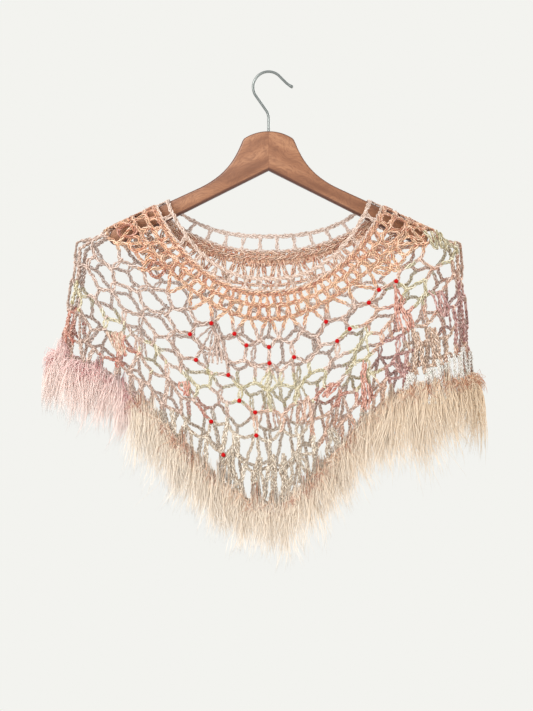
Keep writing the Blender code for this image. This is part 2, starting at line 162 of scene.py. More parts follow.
class Finish:
    """One Principled material."""

    def __init__(self, name, **constants):
        self.material = bpy.data.materials.new(name)
        self.material.use_nodes = True
        self.shader = self.material.node_tree.nodes["Principled BSDF"]
        for socket, value in constants.items():
            self.shader.inputs[socket.replace("_", " ").title()].default_value = value

    def node(self, kind, settings=None, sockets=None, output=0):
        made = self.material.node_tree.nodes.new(kind)
        settings = dict(settings or {})
        stops = settings.pop("stops", None)
        for name, value in settings.items():
            setattr(made, name, value)
        if stops:
            ramp = made.color_ramp.elements
            ramp.remove(ramp[1])
            ramp[0].position, ramp[0].color = stops[0]
            for position, colour in stops[1:]:
                ramp.new(position).color = colour
        for name, value in (sockets or {}).items():
            self.join(made.inputs[name], value)
        return Wire(self, made.outputs[output])

    def join(self, socket, value):
        if isinstance(value, Wire):
            self.material.node_tree.links.new(value.socket, socket)
        else:
            socket.default_value = value

    def vary(self, **wires):
        """Feeds the shader's sockets that change over the surface."""
        for name, value in wires.items():
            self.join(self.shader.inputs[name.replace("_", " ").title()], value)

    def blend(self, share, first, second, way="MIX"):
        settings = {"data_type": "RGBA", "blend_type": way}
        return self.node("ShaderNodeMix", settings, {0: share, 6: first, 7: second}, output=2)

    def noise(self, where, scale, detail=2.0):
        sockets = {"Vector": where, "Scale": scale, "Detail": detail}
        return self.node("ShaderNodeTexNoise", {"noise_dimensions": "3D"}, sockets)

    def relief(self, height, distance, strength=1.0):
        sockets = {"Height": height, "Distance": distance, "Strength": strength}
        return self.node("ShaderNodeBump", {}, sockets)

    def attribute(self, name, output):
        settings = {"attribute_type": "GEOMETRY", "attribute_name": name}
        return self.node("ShaderNodeAttribute", settings, output=output)

    def place(self):
        """Where a point lies on the object."""
        return self.node("ShaderNodeTexCoord", output="Object")

    def parts(self, vector):
        """The three numbers of a vector."""
        split = self.node("ShaderNodeSeparateXYZ", {}, {0: vector}).socket.node
        return [Wire(self, split.outputs[i]) for i in range(3)]

    def vector(self, *parts):
        return self.node("ShaderNodeCombineXYZ", {}, dict(enumerate(parts)))

    def fade(self, value, start, end):
        """Goes from 0 to 1 while the value goes from start to end."""
        sockets = {"Value": value, "From Min": start, "From Max": end}
        return self.node("ShaderNodeMapRange", {}, sockets)


def linear(red, green, blue):
    """A colour as seen on a screen, from 0 to 255, as the linear colour that a shader takes."""
    shares = np.array((red, green, blue)) / 255
    return np.where(shares <= 0.04045, shares / 12.92, ((shares + 0.055) / 1.055) ** 2.4)


def opaque(colour):
    return (*(float(c) for c in colour), 1.0)


print("colour test:", linear(188, 136, 105).round(3))

# %% Floor
FLOOR_DROP = -1.35
FLOOR_RADIUS = 1.45
FLOOR_SPOTS = 3.0

floor_finish = Finish("floor paint", roughness=0.9)
spots = floor_finish.noise(floor_finish.place(), FLOOR_SPOTS)
floor_finish.vary(
    base_color=floor_finish.blend(spots, (0.80, 0.80, 0.78, 1), (0.84, 0.84, 0.82, 1)),
)
disc = bmesh.new()
bmesh.ops.create_circle(disc, cap_ends=True, segments=96, radius=FLOOR_RADIUS)
bmesh.ops.translate(disc, verts=disc.verts, vec=(0, 0, FLOOR_DROP))
floor_mesh = bpy.data.meshes.new("floor")
disc.to_mesh(floor_mesh)
disc.free()
floor = bpy.data.objects.new("floor", floor_mesh)
floor_mesh.materials.append(floor_finish.material)
bpy.context.scene.collection.objects.link(floor)
print("floor at", FLOOR_DROP)

# %% [markdown]
# ## The hanger's wood
#
# The bow of the hanger is sawn from a plank and its edges are rounded with a cutter. So we draw its outline
# from the front, extrude it to the plank's thickness and bevel the edges. It could also be a box cut with
# booleans, but the curve of the shoulders is easier to steer as an outline.

# %% Sizes of the hanger
WIRE_RADIUS = 1.9 * MM
HOOK_RADIUS = 21.6 * MM
HOOK_BACK_ANGLE = math.radians(215)
HOOK_NOSE_ANGLE = math.radians(45)
NOSE_STRAIGHT = 17 * MM
NOSE_TIP = Vector((5.5 * MM, -3.0 * MM))
STEM_BEND = 6 * MM
STEM_DEPTH = 20 * MM
BOW_THICKNESS = 13 * MM
BOW_EDGE_ROUND = 3.2 * MM
HEAD_TOP = -82 * MM
HEAD_HALF_WIDTH = 34 * MM
HEAD_RISE = 10 * MM
ARM_START = Vector((95 * MM, -160.5 * MM))
ARM_SLOPE = 0.46
ARM_HALF_SPAN = 222 * MM
UNDER_APEX = -137 * MM
UNDER_SLOPE = 0.50
FLARE_START = Vector((2.5 * MM, -3.5 * MM))
FLARE_PULLS = (Vector((47 * MM, -122 * MM)), Vector((60 * MM, -143 * MM)))
TIP_TOP = {"leaves": 12 * MM, "pull": 8 * MM}
TIP_UNDER = {"leaves": 19 * MM, "pull": 4 * MM}


# %% The bow
def mix(start, end, share):
    return start + (end - start) * share


def arc(centre, radius, start, end, count):
    """Points on a circle from one angle to another."""
    angles = [mix(start, end, i / (count - 1)) for i in range(count)]
    return [centre + radius * Vector((math.cos(a), math.sin(a))) for a in angles]


def bezier(a, b, c, d, count):
    """Points on a cubic curve."""
    shares = [i / (count - 1) for i in range(count)]
    return [
        a * (1 - t) ** 3 + b * 3 * t * (1 - t) ** 2 + c * 3 * t * t * (1 - t) + d * t**3
        for t in shares
    ]


def arm_top(x):
    return ARM_START.y - ARM_SLOPE * (x - ARM_START.x)


def arm_underside(x):
    return UNDER_APEX - UNDER_SLOPE * x


def half_bow_outline():
    """The right half of the bow, from the top of its head round to the arch."""
    corner = HEAD_TOP - HEAD_RISE
    dome_radius = (HEAD_HALF_WIDTH**2 + HEAD_RISE**2) / (2 * HEAD_RISE)
    half_angle = math.asin(HEAD_HALF_WIDTH / dome_radius)
    up = math.pi / 2
    dome = arc(Vector((0, HEAD_TOP - dome_radius)), dome_radius, up, up - half_angle, 14)
    flare_start = Vector((HEAD_HALF_WIDTH, corner)) + FLARE_START
    flare = bezier(flare_start, *FLARE_PULLS, ARM_START, 22)
    top_end, top_pull = ARM_HALF_SPAN - TIP_TOP["leaves"], ARM_HALF_SPAN + TIP_TOP["pull"]
    low_end, low_pull = ARM_HALF_SPAN - TIP_UNDER["leaves"], ARM_HALF_SPAN + TIP_UNDER["pull"]
    tip = bezier(
        Vector((top_end, arm_top(top_end))),
        Vector((top_pull, arm_top(top_pull))),
        Vector((low_pull, arm_underside(low_pull))),
        Vector((low_end, arm_underside(low_end))),
        14,
    )
    return dome + flare + tip


def make_piece(name, shape, finish):
    """Turns a bmesh into a piece with this finish, smooth except at its sharp edges."""
    bmesh.ops.recalc_face_normals(shape, faces=shape.faces)
    mesh = bpy.data.meshes.new(name)
    shape.to_mesh(mesh)
    shape.free()
    mesh.materials.append(finish.material)
    mesh.shade_smooth()
    mesh.set_sharp_from_angle(angle=math.radians(35))
    piece = bpy.data.objects.new(name, mesh)
    bpy.context.scene.collection.objects.link(piece)
    return piece


def saw_bow(finish):
    right = half_bow_outline()
    left = [Vector((-p.x, p.y)) for p in reversed(right[1:])]
    outline_points = [*right, Vector((0, UNDER_APEX)), *left]
    shape = bmesh.new()
    rim = [shape.verts.new((p.x, -BOW_THICKNESS / 2, p.y)) for p in outline_points]
    plank = shape.faces.new(rim)
    grown = bmesh.ops.extrude_face_region(shape, geom=[plank])["geom"]
    moved = [g for g in grown if isinstance(g, bmesh.types.BMVert)]
    bmesh.ops.translate(shape, verts=moved, vec=(0, BOW_THICKNESS, 0))
    along = [e for e in shape.edges if abs(e.verts[0].co.y - e.verts[1].co.y) < MM]
    bmesh.ops.bevel(
        shape,
        geom=along,
        offset=BOW_EDGE_ROUND,
        segments=5,
        profile=0.5,
        affect="EDGES",
        clamp_overlap=True,
        material=-1,
    )
    return make_piece("bow_wood", shape, finish)


# %% [markdown]
# ### Grain
#
# Each arm is cut along the grain, and the two halves meet in a mirrored figure under the hook.
# The shader folds the object at X = 0 with an Absolute node and turns the coordinates along the
# arm. Noise that is stretched along that direction gives the streaks. A finer one gives short
# dark curls. The seam in the middle is stained darker. The rounded rim and the lower edge get a
# painted shade in a dark brown.

# %% Wood finish
WOOD = {
    "pale": opaque(linear(170, 120, 86)),
    "middle": opaque(linear(150, 100, 68)),
    "deep": opaque(linear(120, 74, 46)),
    "curl": opaque(linear(112, 68, 42)),
    # The edge tone is painted shade for the rounded rim and the lower edge.
    "edge": opaque(linear(78, 38, 22)),
}
FACE_DEPTH = BOW_THICKNESS / 2
FIGURE = {"along": 11.0, "up": 60.0, "deep": 40.0, "other half": 0.7}
CURLS = {"along": 150.0, "up": 520.0, "deep": 200.0, "range": (0.42, 0.70)}
SWIRL = {"scale": 26.0, "size": 0.05}
SEAM_HALF_WIDTH = 1.2 * MM
# Where the painted shade lies: over the rounded rim, and in a strip along the lower edge.
SHADED_RIM_DEPTHS = (FACE_DEPTH - 0.05 * MM, FACE_DEPTH - 0.9 * MM)
SHADED_FOOT_HEIGHTS = (4.6 * MM, 3.0 * MM)
# The stains of the curls and the seam, and how strong the painted shade of the lower edge and the rim is.
STAIN_AND_SHADE = {"curl": 0.62, "seam": 0.4, "foot": 0.85, "rim": 0.55}


def wood_finish():
    finish = Finish("varnished wood", roughness=0.42, coat_weight=0.2, coat_roughness=0.25)
    place = finish.place()
    x, y, z = finish.parts(place)
    lean = math.atan(ARM_SLOPE)
    run = x.size() * math.cos(lean) - z * math.sin(lean)
    rise = x.size() * math.sin(lean) + z * math.cos(lean)
    half = finish.node("ShaderNodeMath", {"operation": "GREATER_THAN"}, {0: x, 1: 0.0})
    swirl = (finish.noise(place, SWIRL["scale"], 1.0) - 0.5) * SWIRL["size"]
    grain = finish.vector(
        run * FIGURE["along"],
        rise * FIGURE["up"] + half * FIGURE["other half"],
        y * FIGURE["deep"],
    )
    ramp = finish.node(
        "ShaderNodeValToRGB",
        {"stops": ((0.34, WOOD["deep"]), (0.5, WOOD["middle"]), (0.66, WOOD["pale"]))},
        {0: finish.noise(grain, 1.0, 4.0)},
    )
    pores = finish.vector(
        (run + swirl) * CURLS["along"], (rise + swirl) * CURLS["up"], y * CURLS["deep"]
    )
    curls = finish.noise(pores, 1.0, 3.0)
    curl_mask = finish.fade(curls, *CURLS["range"])
    seam = finish.fade(x.size(), SEAM_HALF_WIDTH, 0.0)
    # Painted shade: the rounded rim and a strip along the lower edge are darkened as if in shade.
    rim = finish.fade(y.size(), *SHADED_RIM_DEPTHS)
    foot = finish.fade(z + x.size() * UNDER_SLOPE - UNDER_APEX, *SHADED_FOOT_HEIGHTS)
    colour = finish.blend(curl_mask * STAIN_AND_SHADE["curl"], ramp, WOOD["curl"])
    colour = finish.blend(seam * STAIN_AND_SHADE["seam"], colour, WOOD["deep"])
    colour = finish.blend(foot * STAIN_AND_SHADE["foot"], colour, WOOD["edge"])
    finish.vary(
        base_color=finish.blend(rim * (STAIN_AND_SHADE["rim"] + curls * 0.4), colour, WOOD["edge"]),
        roughness=0.36 + curls * 0.2,
        normal=finish.relief(curls, 0.08 * MM, 0.5),
    )
    return finish


bow = saw_bow(wood_finish())
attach(bow, "root")
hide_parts("hanger_bow")
print("bow faces:", len(bow.data.polygons))

# %% [markdown]
# ## The hook
#
# The hook is bent from one length of polished wire, and its nose is rounded over so it doesn't snag. We
# draw the wire's route, and extrude a circle from point to point along it. The rings follow the route's
# direction, so the wire keeps its thickness round the bend.


# %% The hook's route
def hook_route():
    """The middle of the wire in the XZ plane, from the stem's foot to the nose."""
    centre = Vector((0, WIRE_RADIUS - HOOK_RADIUS))
    round_part = arc(centre, HOOK_RADIUS, HOOK_BACK_ANGLE, HOOK_NOSE_ANGLE, 44)
    back_way = Vector((-math.sin(HOOK_BACK_ANGLE), math.cos(HOOK_BACK_ANGLE)))
    elbow = round_part[0] + back_way * (-round_part[0].x / back_way.x)
    stem_turn = bezier(
        elbow - Vector((0, STEM_BEND)),
        elbow - Vector((0, STEM_BEND / 3)),
        elbow - back_way * STEM_BEND / 3,
        elbow - back_way * STEM_BEND,
        12,
    )
    nose_way = Vector((math.sin(HOOK_NOSE_ANGLE), -math.cos(HOOK_NOSE_ANGLE)))
    nose_start = round_part[-1] + nose_way * NOSE_STRAIGHT / 2
    nose_turn = round_part[-1] + nose_way * NOSE_STRAIGHT
    nose = bezier(
        nose_start, mix(nose_start, nose_turn, 0.7), nose_turn, nose_turn + NOSE_TIP, 14
    )
    return [Vector((0, HEAD_TOP - STEM_DEPTH)), *stem_turn, *round_part, *nose]


print("points on the hook's route:", len(hook_route()))

# %% Bending the hook
NOSE_SWELLS = (1.06, 1.16, 1.25, 1.25)
NOSE_ROUNDING = ((0.45, 1.15), (0.35, 0.8))


def bend_hook(finish):
    route = hook_route()
    thick = [1.0] * (len(route) - len(NOSE_SWELLS)) + list(NOSE_SWELLS)
    nose_way = (route[-1] - route[-2]).normalized()
    for step, share in NOSE_ROUNDING:
        route.append(route[-1] + nose_way * WIRE_RADIUS * step)
        thick.append(share)
    shape = bmesh.new()
    ring = bmesh.ops.create_circle(shape, segments=16, radius=WIRE_RADIUS)["verts"]
    edges = list({e for v in ring for e in v.link_edges})
    shape.faces.new(ring)
    previous = Matrix.Identity(4)
    for i, point in enumerate(route):
        before, after = route[max(i - 1, 0)], route[min(i + 1, len(route) - 1)]
        way = (after - before).normalized()
        turn = Matrix.Rotation(math.atan2(way.x, way.y), 4, "Y")
        place = Matrix.Translation((point.x, 0, point.y)) @ turn @ Matrix.Scale(thick[i], 4)
        if i == 0:
            bmesh.ops.transform(shape, matrix=place, verts=ring)
        else:
            grown = bmesh.ops.extrude_edge_only(shape, edges=edges)["geom"]
            ring = [g for g in grown if isinstance(g, bmesh.types.BMVert)]
            edges = [g for g in grown if isinstance(g, bmesh.types.BMEdge)]
            bmesh.ops.transform(shape, matrix=place @ previous.inverted(), verts=ring)
        previous = place
    bmesh.ops.holes_fill(shape, edges=edges, sides=0)
    return make_piece("hook_wire", shape, finish)


def steel_finish():
    finish = Finish("polished steel", metallic=1.0, roughness=0.34)
    place = finish.place()
    marks = finish.noise(place, 140.0)
    clouds = finish.noise(place, 60.0)
    finish.vary(
        base_color=finish.blend(clouds, (0.15, 0.17, 0.16, 1), (0.36, 0.38, 0.37, 1)),
        roughness=0.30 + marks * 0.08,
    )
    return finish


hook = bend_hook(steel_finish())
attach(hook, "root")
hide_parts("hanger_hook")
print("hook faces:", len(hook.data.polygons))

# %% [markdown]
# ## The shape that the lace is worn in
#
# All yarn lies on one surface: two panels that meet along the shoulders and the sides, over the
# hanger. A point of the lace has two numbers. Across runs from -1 at the left side to 1 at the
# right, and down from 0 at the neck to 1 at the hem. These functions turn them into a place, with
# the same sizes as the solids. They take whole arrays of points, because one strand of yarn has
# hundreds.

# %% Sizes of the lace
GAP = 0.3 * MM
NECK_HALF = 139 * MM
SHOULDER_HALF = 268 * MM
HEM_CORNER = {"left": (292 * MM, -394 * MM), "right": (285 * MM, -426 * MM)}
NECK_MIDDLE = {"front": -288 * MM, "back": -223 * MM}
HEM_MIDDLE = {"front": -598 * MM, "back": -608 * MM}
PANEL_DEPTH = {"front": 40 * MM, "back": 36 * MM}
OUTWARD = {"front": -1.0, "back": 1.0}
HEM_POINT_WIDTH = {"left": 0.60, "right": 0.46}
EDGE_ROLL = 42 * MM
HEM_FLARE = 7 * MM
WAVE_DEPTH = 4 * MM
WAVE_TURNS = {"front": 3.0, "back": 2.5}
WAVE_START = 0.6
NECK_CURVE = {"in_middle": 2.5, "at_shoulder": 0.88}
SHOULDER_LIFT = 2.1 * MM


# %% Places on the lace
def ridge(x):
    """Height of the shoulder line, which lies on the arms of the hanger."""
    return arm_top(np.abs(x)) + SHOULDER_LIFT * math.hypot(1, ARM_SLOPE)


CORNER_HEIGHT = float(ridge(SHOULDER_HALF))


def by_side(x, table, part=None):
    """A value that differs between the left and the right half."""
    pick = [table[name] if part is None else table[name][part] for name in ("left", "right")]
    return np.where(np.asarray(x) < 0, pick[0], pick[1])


def outline(across, down):
    """The lace's edge: out along the shoulder, round its corner and down to the hem."""
    end_x, end_z = by_side(across, HEM_CORNER, 0), by_side(across, HEM_CORNER, 1)
    shoulder = math.hypot(SHOULDER_HALF - NECK_HALF, CORNER_HEIGHT - float(ridge(NECK_HALF)))
    side = np.hypot(end_x - SHOULDER_HALF, end_z - CORNER_HEIGHT)
    turn = shoulder / (shoulder + side)
    on_top = mix(NECK_HALF, SHOULDER_HALF, down / turn)
    below = (down - turn) / (1 - turn)
    x = np.where(down < turn, on_top, mix(SHOULDER_HALF, end_x, below))
    z = np.where(down < turn, ridge(on_top), mix(CORNER_HEIGHT, end_z, below))
    return x, z


def bell(across, width):
    """1 in the middle, falling to 0 at both sides."""
    foot = np.exp(-1 / width**2)
    return (np.exp(-((across / width) ** 2)) - foot) / (1 - foot)


def hem_bell(across):
    return bell(across, by_side(across, HEM_POINT_WIDTH))


def reach(x, z):
    """How far inside the outline a point lies."""
    end_x, end_z = by_side(x, HEM_CORNER, 0), by_side(x, HEM_CORNER, 1)
    flare = (end_x - SHOULDER_HALF) / (CORNER_HEIGHT - end_z)
    side_x = SHOULDER_HALF + (CORNER_HEIGHT - z) * flare
    from_shoulder = np.maximum((ridge(x) - z) / math.hypot(1, ARM_SLOPE), 0)
    from_side = np.maximum(side_x - np.abs(x), 0)
    return from_shoulder * from_side / (from_shoulder + from_side + 1e-9)


def roll_angle(x, z):
    return np.arccos(1 - np.minimum(reach(x, z) / EDGE_ROLL, 1))


def lace(side, across, down):
    """Places in the middle of the lace wall."""
    across, down = np.asarray(across, float), np.asarray(down, float)
    edge_x, edge_z = outline(across, down)
    z_middle = mix(NECK_MIDDLE[side], HEM_MIDDLE[side], down)
    flatness = np.minimum(np.abs(across), 1) ** NECK_CURVE["in_middle"]
    neck_curve = (1 - flatness) ** NECK_CURVE["at_shoulder"]
    sag = mix(neck_curve, hem_bell(across), down)
    x = across * edge_x
    z = mix(edge_z, z_middle, sag)
    wave = np.sin(math.pi * WAVE_TURNS[side] * across + WAVE_START)
    depth = PANEL_DEPTH[side] + (HEM_FLARE + WAVE_DEPTH * wave) * down**2
    y = GAP / 2 + depth * np.sin(roll_angle(x, z))
    return np.stack([x, OUTWARD[side] * y, z], axis=-1)


def unit(vectors):
    return vectors / np.maximum(np.linalg.norm(vectors, axis=-1, keepdims=True), 1e-9)


def lace_out(side, points):
    """The way out of the lace at each point."""
    step = 0.5 * MM
    x, z = points[..., 0], points[..., 2]
    angle = roll_angle(x, z)[..., None]
    grow_x = reach(x + step, z) - reach(x - step, z)
    grow_z = reach(x, z + step) - reach(x, z - step)
    inwards = unit(np.stack([grow_x, np.zeros_like(x), grow_z], axis=-1))
    flat = np.array((0, OUTWARD[side], 0))
    return unit(flat * np.sin(angle) / PANEL_DEPTH[side] - inwards * np.cos(angle) / EDGE_ROLL)


print("front, middle of the hem:", lace("front", 0.0, 1.0).round(3))

# %% [markdown]
# ## Knots
#
# The net is crocheted in rounds of open meshes, each round half a mesh on from the one above. Handwork is
# never even, so each knot is moved a little, by a random draw that its own column and round seed. The draws
# are those of the solids, so yarn and solids share every knot.

# %% Columns and rounds
COLUMNS = {"front": 15, "back": 13}
ZIGZAG = 0.017
COLUMN_SCATTER = 0.17
DOWN_SCATTER = 0.011
NET_ROUNDS = (
    {"at_side": 0.200, "at_middle": 0.200},
    {"at_side": 0.320, "at_middle": 0.297},
    {"at_side": 0.430, "at_middle": 0.390},
    {"at_side": 0.540, "at_middle": 0.488},
    {"at_side": 0.655, "at_middle": 0.594},
    {"at_side": 0.770, "at_middle": 0.711},
    {"at_side": 0.885, "at_middle": 0.846},
    {"at_side": 1.000, "at_middle": 1.000},
)
HEM_ROUND = len(NET_ROUNDS) - 1


def column_across(side, column):
    """How far across a column lies. Columns are even round the girth of the hem."""
    columns = COLUMNS[side]
    roll_radius = (EDGE_ROLL + PANEL_DEPTH[side]) / 2
    roll_girth = roll_radius * math.pi / 2
    half = HEM_CORNER["left"][0]
    girth = half - EDGE_ROLL + roll_girth
    from_side = min(column, 2 * columns - column) * girth / columns
    turned = EDGE_ROLL * (1 - math.cos(min(from_side, roll_girth) / roll_radius))
    share = 1 - (turned + max(from_side - roll_girth, 0)) / half
    return -share if column < columns else share


def round_knot(side, column, line):
    """A knot of the net as (across, down)."""
    last = 2 * COLUMNS[side]
    start = NET_ROUNDS[line]
    moved, lift = column, 0
    if 0 < line < HEM_ROUND:
        lift = ZIGZAG if column % 2 == line % 2 else -ZIGZAG
        if 0 < column < last:
            scatter = random.Random(column + 100 * line + 10000 * len(side))
            moved += scatter.uniform(-1, 1) * COLUMN_SCATTER
            lift += scatter.uniform(-1, 1) * DOWN_SCATTER
    across = column_across(side, moved)
    down = mix(start["at_side"], start["at_middle"], float(hem_bell(across)))
    return across, down + lift


def between_knots(side, column, line):
    """A place on a round between two of its knots."""
    last = 2 * COLUMNS[side]
    column = min(max(column, 0), last)
    low = min(int(column), last - 1)
    a, b = round_knot(side, low, line), round_knot(side, low + 1, line)
    share = column - low
    ease = (1 - math.cos(math.pi * share)) / 2
    return mix(a[0], b[0], share), mix(a[1], b[1], ease)


print("knots in a front round:", 2 * COLUMNS["front"] + 1)

# %% [markdown]
# ## Yarn
#
# From a step away each strand of this lace shows as two to four plies side by side that turn
# slowly round each other, or as a crocheted chain. Both can be made as round tubes along lines.
# Thousands of tubes would be slow as curve objects, so a Skein gathers their rings in arrays and
# makes one mesh of them. It also stores two attributes for the material: the yarn's tone, and how
# far along and round the ply a point lies.


# %% Skein
CAP_BULGE = 0.6


class Skein:
    """Many tubes gathered into one mesh."""

    def __init__(self):
        self.skins, self.tones, self.fibres = [], [], []
        self.quads, self.caps = [], []
        self.paths = []
        self.count = 0

    def lay(self, lines, radii, outs, tones, runs, sides=5, pointed=False):
        """Adds tubes. Lines are (tubes, points, 3), the other arrays follow them point by point."""
        tubes, count = lines.shape[:2]
        along = unit(np.gradient(lines, axis=1))
        across = unit(np.cross(along, outs))
        up = np.cross(across, along)
        rings = count - 1 if pointed else count
        turn = np.arange(sides) / sides * 2 * math.pi
        spokes = (
            np.cos(turn)[:, None] * across[:, :rings, None, :]
            + np.sin(turn)[:, None] * up[:, :rings, None, :]
        )
        skin = lines[:, :rings, None, :] + radii[:, :rings, None, None] * spokes
        start = lines[:, 0] - along[:, 0] * radii[:, 0, None] * CAP_BULGE
        end = lines[:, -1]
        if not pointed:
            end = end + along[:, -1] * radii[:, -1, None] * CAP_BULGE
        ends = np.stack([start, end], axis=1)
        skin = np.concatenate([skin.reshape(tubes, -1, 3), ends], axis=1)
        self.skins.append(skin.reshape(-1, 3))
        tone = np.repeat(tones[:, :rings], sides, axis=1)
        tone = np.concatenate([tone, tones[:, :1], tones[:, -1:]], axis=1)
        self.tones.append(tone.reshape(-1, 3))
        fibre = np.stack(
            [
                np.repeat(runs[:, :rings], sides, axis=1),
                np.broadcast_to(np.tile(np.cos(turn), rings), (tubes, rings * sides)),
                np.broadcast_to(np.tile(np.sin(turn), rings), (tubes, rings * sides)),
            ],
            axis=-1,
        )
        tips = np.zeros((tubes, 2, 3))
        tips[:, 0, 0], tips[:, 1, 0] = runs[:, 0], runs[:, -1]
        self.fibres.append(np.concatenate([fibre, tips], axis=1).reshape(-1, 3))
        self.stitch(tubes, rings, sides)

    def stitch(self, tubes, rings, sides):
        """Adds the faces of tubes whose points were just laid."""
        j = np.arange(sides)
        k = (j + 1) % sides
        i = np.arange(rings - 1)[:, None] * sides
        wall = np.stack([i + j, i + sides + j, i + sides + k, i + k], axis=-1).reshape(-1, 4)
        tail = (rings - 1) * sides
        start = np.stack([np.full(sides, rings * sides), j, k], axis=-1)
        end = np.stack([np.full(sides, rings * sides + 1), tail + k, tail + j], axis=-1)
        cap = np.concatenate([start, end])
        size = rings * sides + 2
        first = self.count + np.arange(tubes)[:, None, None] * size
        self.quads.append((wall + first).reshape(-1, 4))
        self.caps.append((cap + first).reshape(-1, 3))
        self.count += tubes * size

    def finish(self, name, finish):
        """Makes the piece."""
        points = np.concatenate(self.skins)
        quads, caps = np.concatenate(self.quads), np.concatenate(self.caps)
        corners = np.concatenate([quads.ravel(), caps.ravel()])
        starts = np.concatenate(
            [np.arange(len(quads)) * 4, 4 * len(quads) + np.arange(len(caps)) * 3]
        )
        mesh = bpy.data.meshes.new(name)
        mesh.vertices.add(len(points))
        mesh.vertices.foreach_set("co", points.astype(np.float32).ravel())
        mesh.loops.add(len(corners))
        mesh.loops.foreach_set("vertex_index", corners.astype(np.int32))
        mesh.polygons.add(len(starts))
        mesh.polygons.foreach_set("loop_start", starts.astype(np.int32))
        mesh.update(calc_edges=True)
        mesh.shade_smooth()
        tone = np.ones((len(points), 4), np.float32)
        tone[:, :3] = np.concatenate(self.tones)
        tones = mesh.attributes.new("tone", "FLOAT_COLOR", "POINT")
        tones.data.foreach_set("color", tone.ravel())
        fibre = np.concatenate(self.fibres).astype(np.float32)
        fibres = mesh.attributes.new("fibre", "FLOAT_VECTOR", "POINT")
        fibres.data.foreach_set("vector", fibre.ravel())
        mesh.materials.append(finish.material)
        piece = bpy.data.objects.new(name, mesh)
        bpy.context.scene.collection.objects.link(piece)
        print(name, "triangles:", 2 * len(quads) + len(caps))
        return piece

    def covered(self):
        """Half the skin's area: what the yarn covers when it is pressed flat."""
        quads = np.concatenate(self.skins)[np.concatenate(self.quads)]
        twice = np.cross(quads[:, 2] - quads[:, 0], quads[:, 3] - quads[:, 1])
        return float(np.linalg.norm(twice, axis=1).sum() / 4)


# %% [markdown]
# ### Tones
#
# The maker changed yarn again and again: taupe round the neck, peach over the yoke, blush in the
# net, stone at the hem, and patches of lime, coral, mauve, tan and mint between them. A short
# table gives each yarn its tone and its flecks, and a second one lists the patches in
# millimetres. They are placed in a layout of their own. Each point of a strand reads the
# patches a little beside where it lies, so the patches end raggedly.

# %% Yarn tones
# Each yarn has a tone, the tone of its flecks, and the share of it that is flecked.
TONES = {
    "taupe": ((226, 199, 180), (168, 142, 124), 0.14),
    "peach": ((252, 208, 168), (196, 108, 70), 0.28),
    "salmon": ((240, 182, 140), (180, 92, 58), 0.34),
    "rust": ((214, 142, 108), (140, 64, 44), 0.45),
    "blush": ((230, 203, 186), (176, 134, 114), 0.16),
    "rose": ((220, 194, 178), (168, 132, 114), 0.17),
    "apricot": ((234, 198, 174), (190, 124, 96), 0.20),
    "lime": ((228, 220, 186), (176, 160, 100), 0.28),
    "coral": ((232, 176, 154), (176, 84, 66), 0.34),
    "mauve": ((214, 168, 158), (150, 82, 84), 0.34),
    "tan": ((226, 198, 174), (170, 126, 98), 0.20),
    "mint": ((255, 255, 250), (214, 224, 210), 0.12),
    "stone": ((242, 230, 210), (170, 142, 112), 0.24),
}
TONE_NAMES = list(TONES)
BASES = np.array([linear(*base) for base, _, _ in TONES.values()])
FLECKS = np.array([linear(*fleck) for _, fleck, _ in TONES.values()])
FLECKED = np.array([share for _, _, share in TONES.values()])
EVEN_SHARE = {"mint": 0.85}
EVEN = np.array([[EVEN_SHARE.get(name, 0.0)] for name in TONES])
FLECK_STRENGTH = (0.35, 0.9)


def yarn_tones(yarn, draw, shade=1.0, pale=0.0):
    """The colour of each point of a ply."""
    base = mix(BASES[yarn] * shade, BASES[yarn], EVEN[yarn])
    base = mix(base, 1.0, pale)
    spots = draw.random(len(yarn)) < FLECKED[yarn]
    spots = (spots * draw.uniform(*FLECK_STRENGTH, len(yarn)))[:, None]
    return mix(base, FLECKS[yarn], spots)


print("tones:", TONE_NAMES)

# %% Patches of yarn
# Each patch is an oval on the net: its middle in X and Z, its half width and its half height.
PATCHES = {
    "lime": (
        (-258, -316, 11, 18), (-214, -352, 14, 26), (-160, -398, 15, 20),
        (-98, -430, 26, 18), (-6, -446, 58, 28), (58, -432, 24, 26),
        (126, -404, 20, 50), (196, -304, 28, 30), (244, -252, 26, 20),
    ),
    "coral": (
        (-92, -466, 16, 15), (82, -452, 22, 14), (184, -338, 15, 28),
        (130, -454, 9, 22), (-276, -362, 15, 34), (-206, -390, 24, 18),
    ),
    "mauve": ((264, -346, 15, 46), (174, -396, 20, 38), (184, -424, 12, 20)),
    "tan": ((222, -382, 30, 32),),
    "mint": ((242, -432, 54, 20),),
    "apricot": ((6, -478, 56, 16), (92, -496, 40, 24)),
}
PATCH_ROWS = [(TONE_NAMES.index(name), *row) for name, rows in PATCHES.items() for row in rows]
PATCH_TONE, PATCH_X, PATCH_Z, PATCH_WIDE, PATCH_TALL = np.array(PATCH_ROWS).T
PATCHES_FROM = 0.24
ROSE_CORNER = (-60, -395)
APRICOT_FROM = 120
STONE_UNDER = -474
PEACH_END = {"middle": 0.235, "side": 0.34}
STRAY = {"place": 5, "down": 0.006}


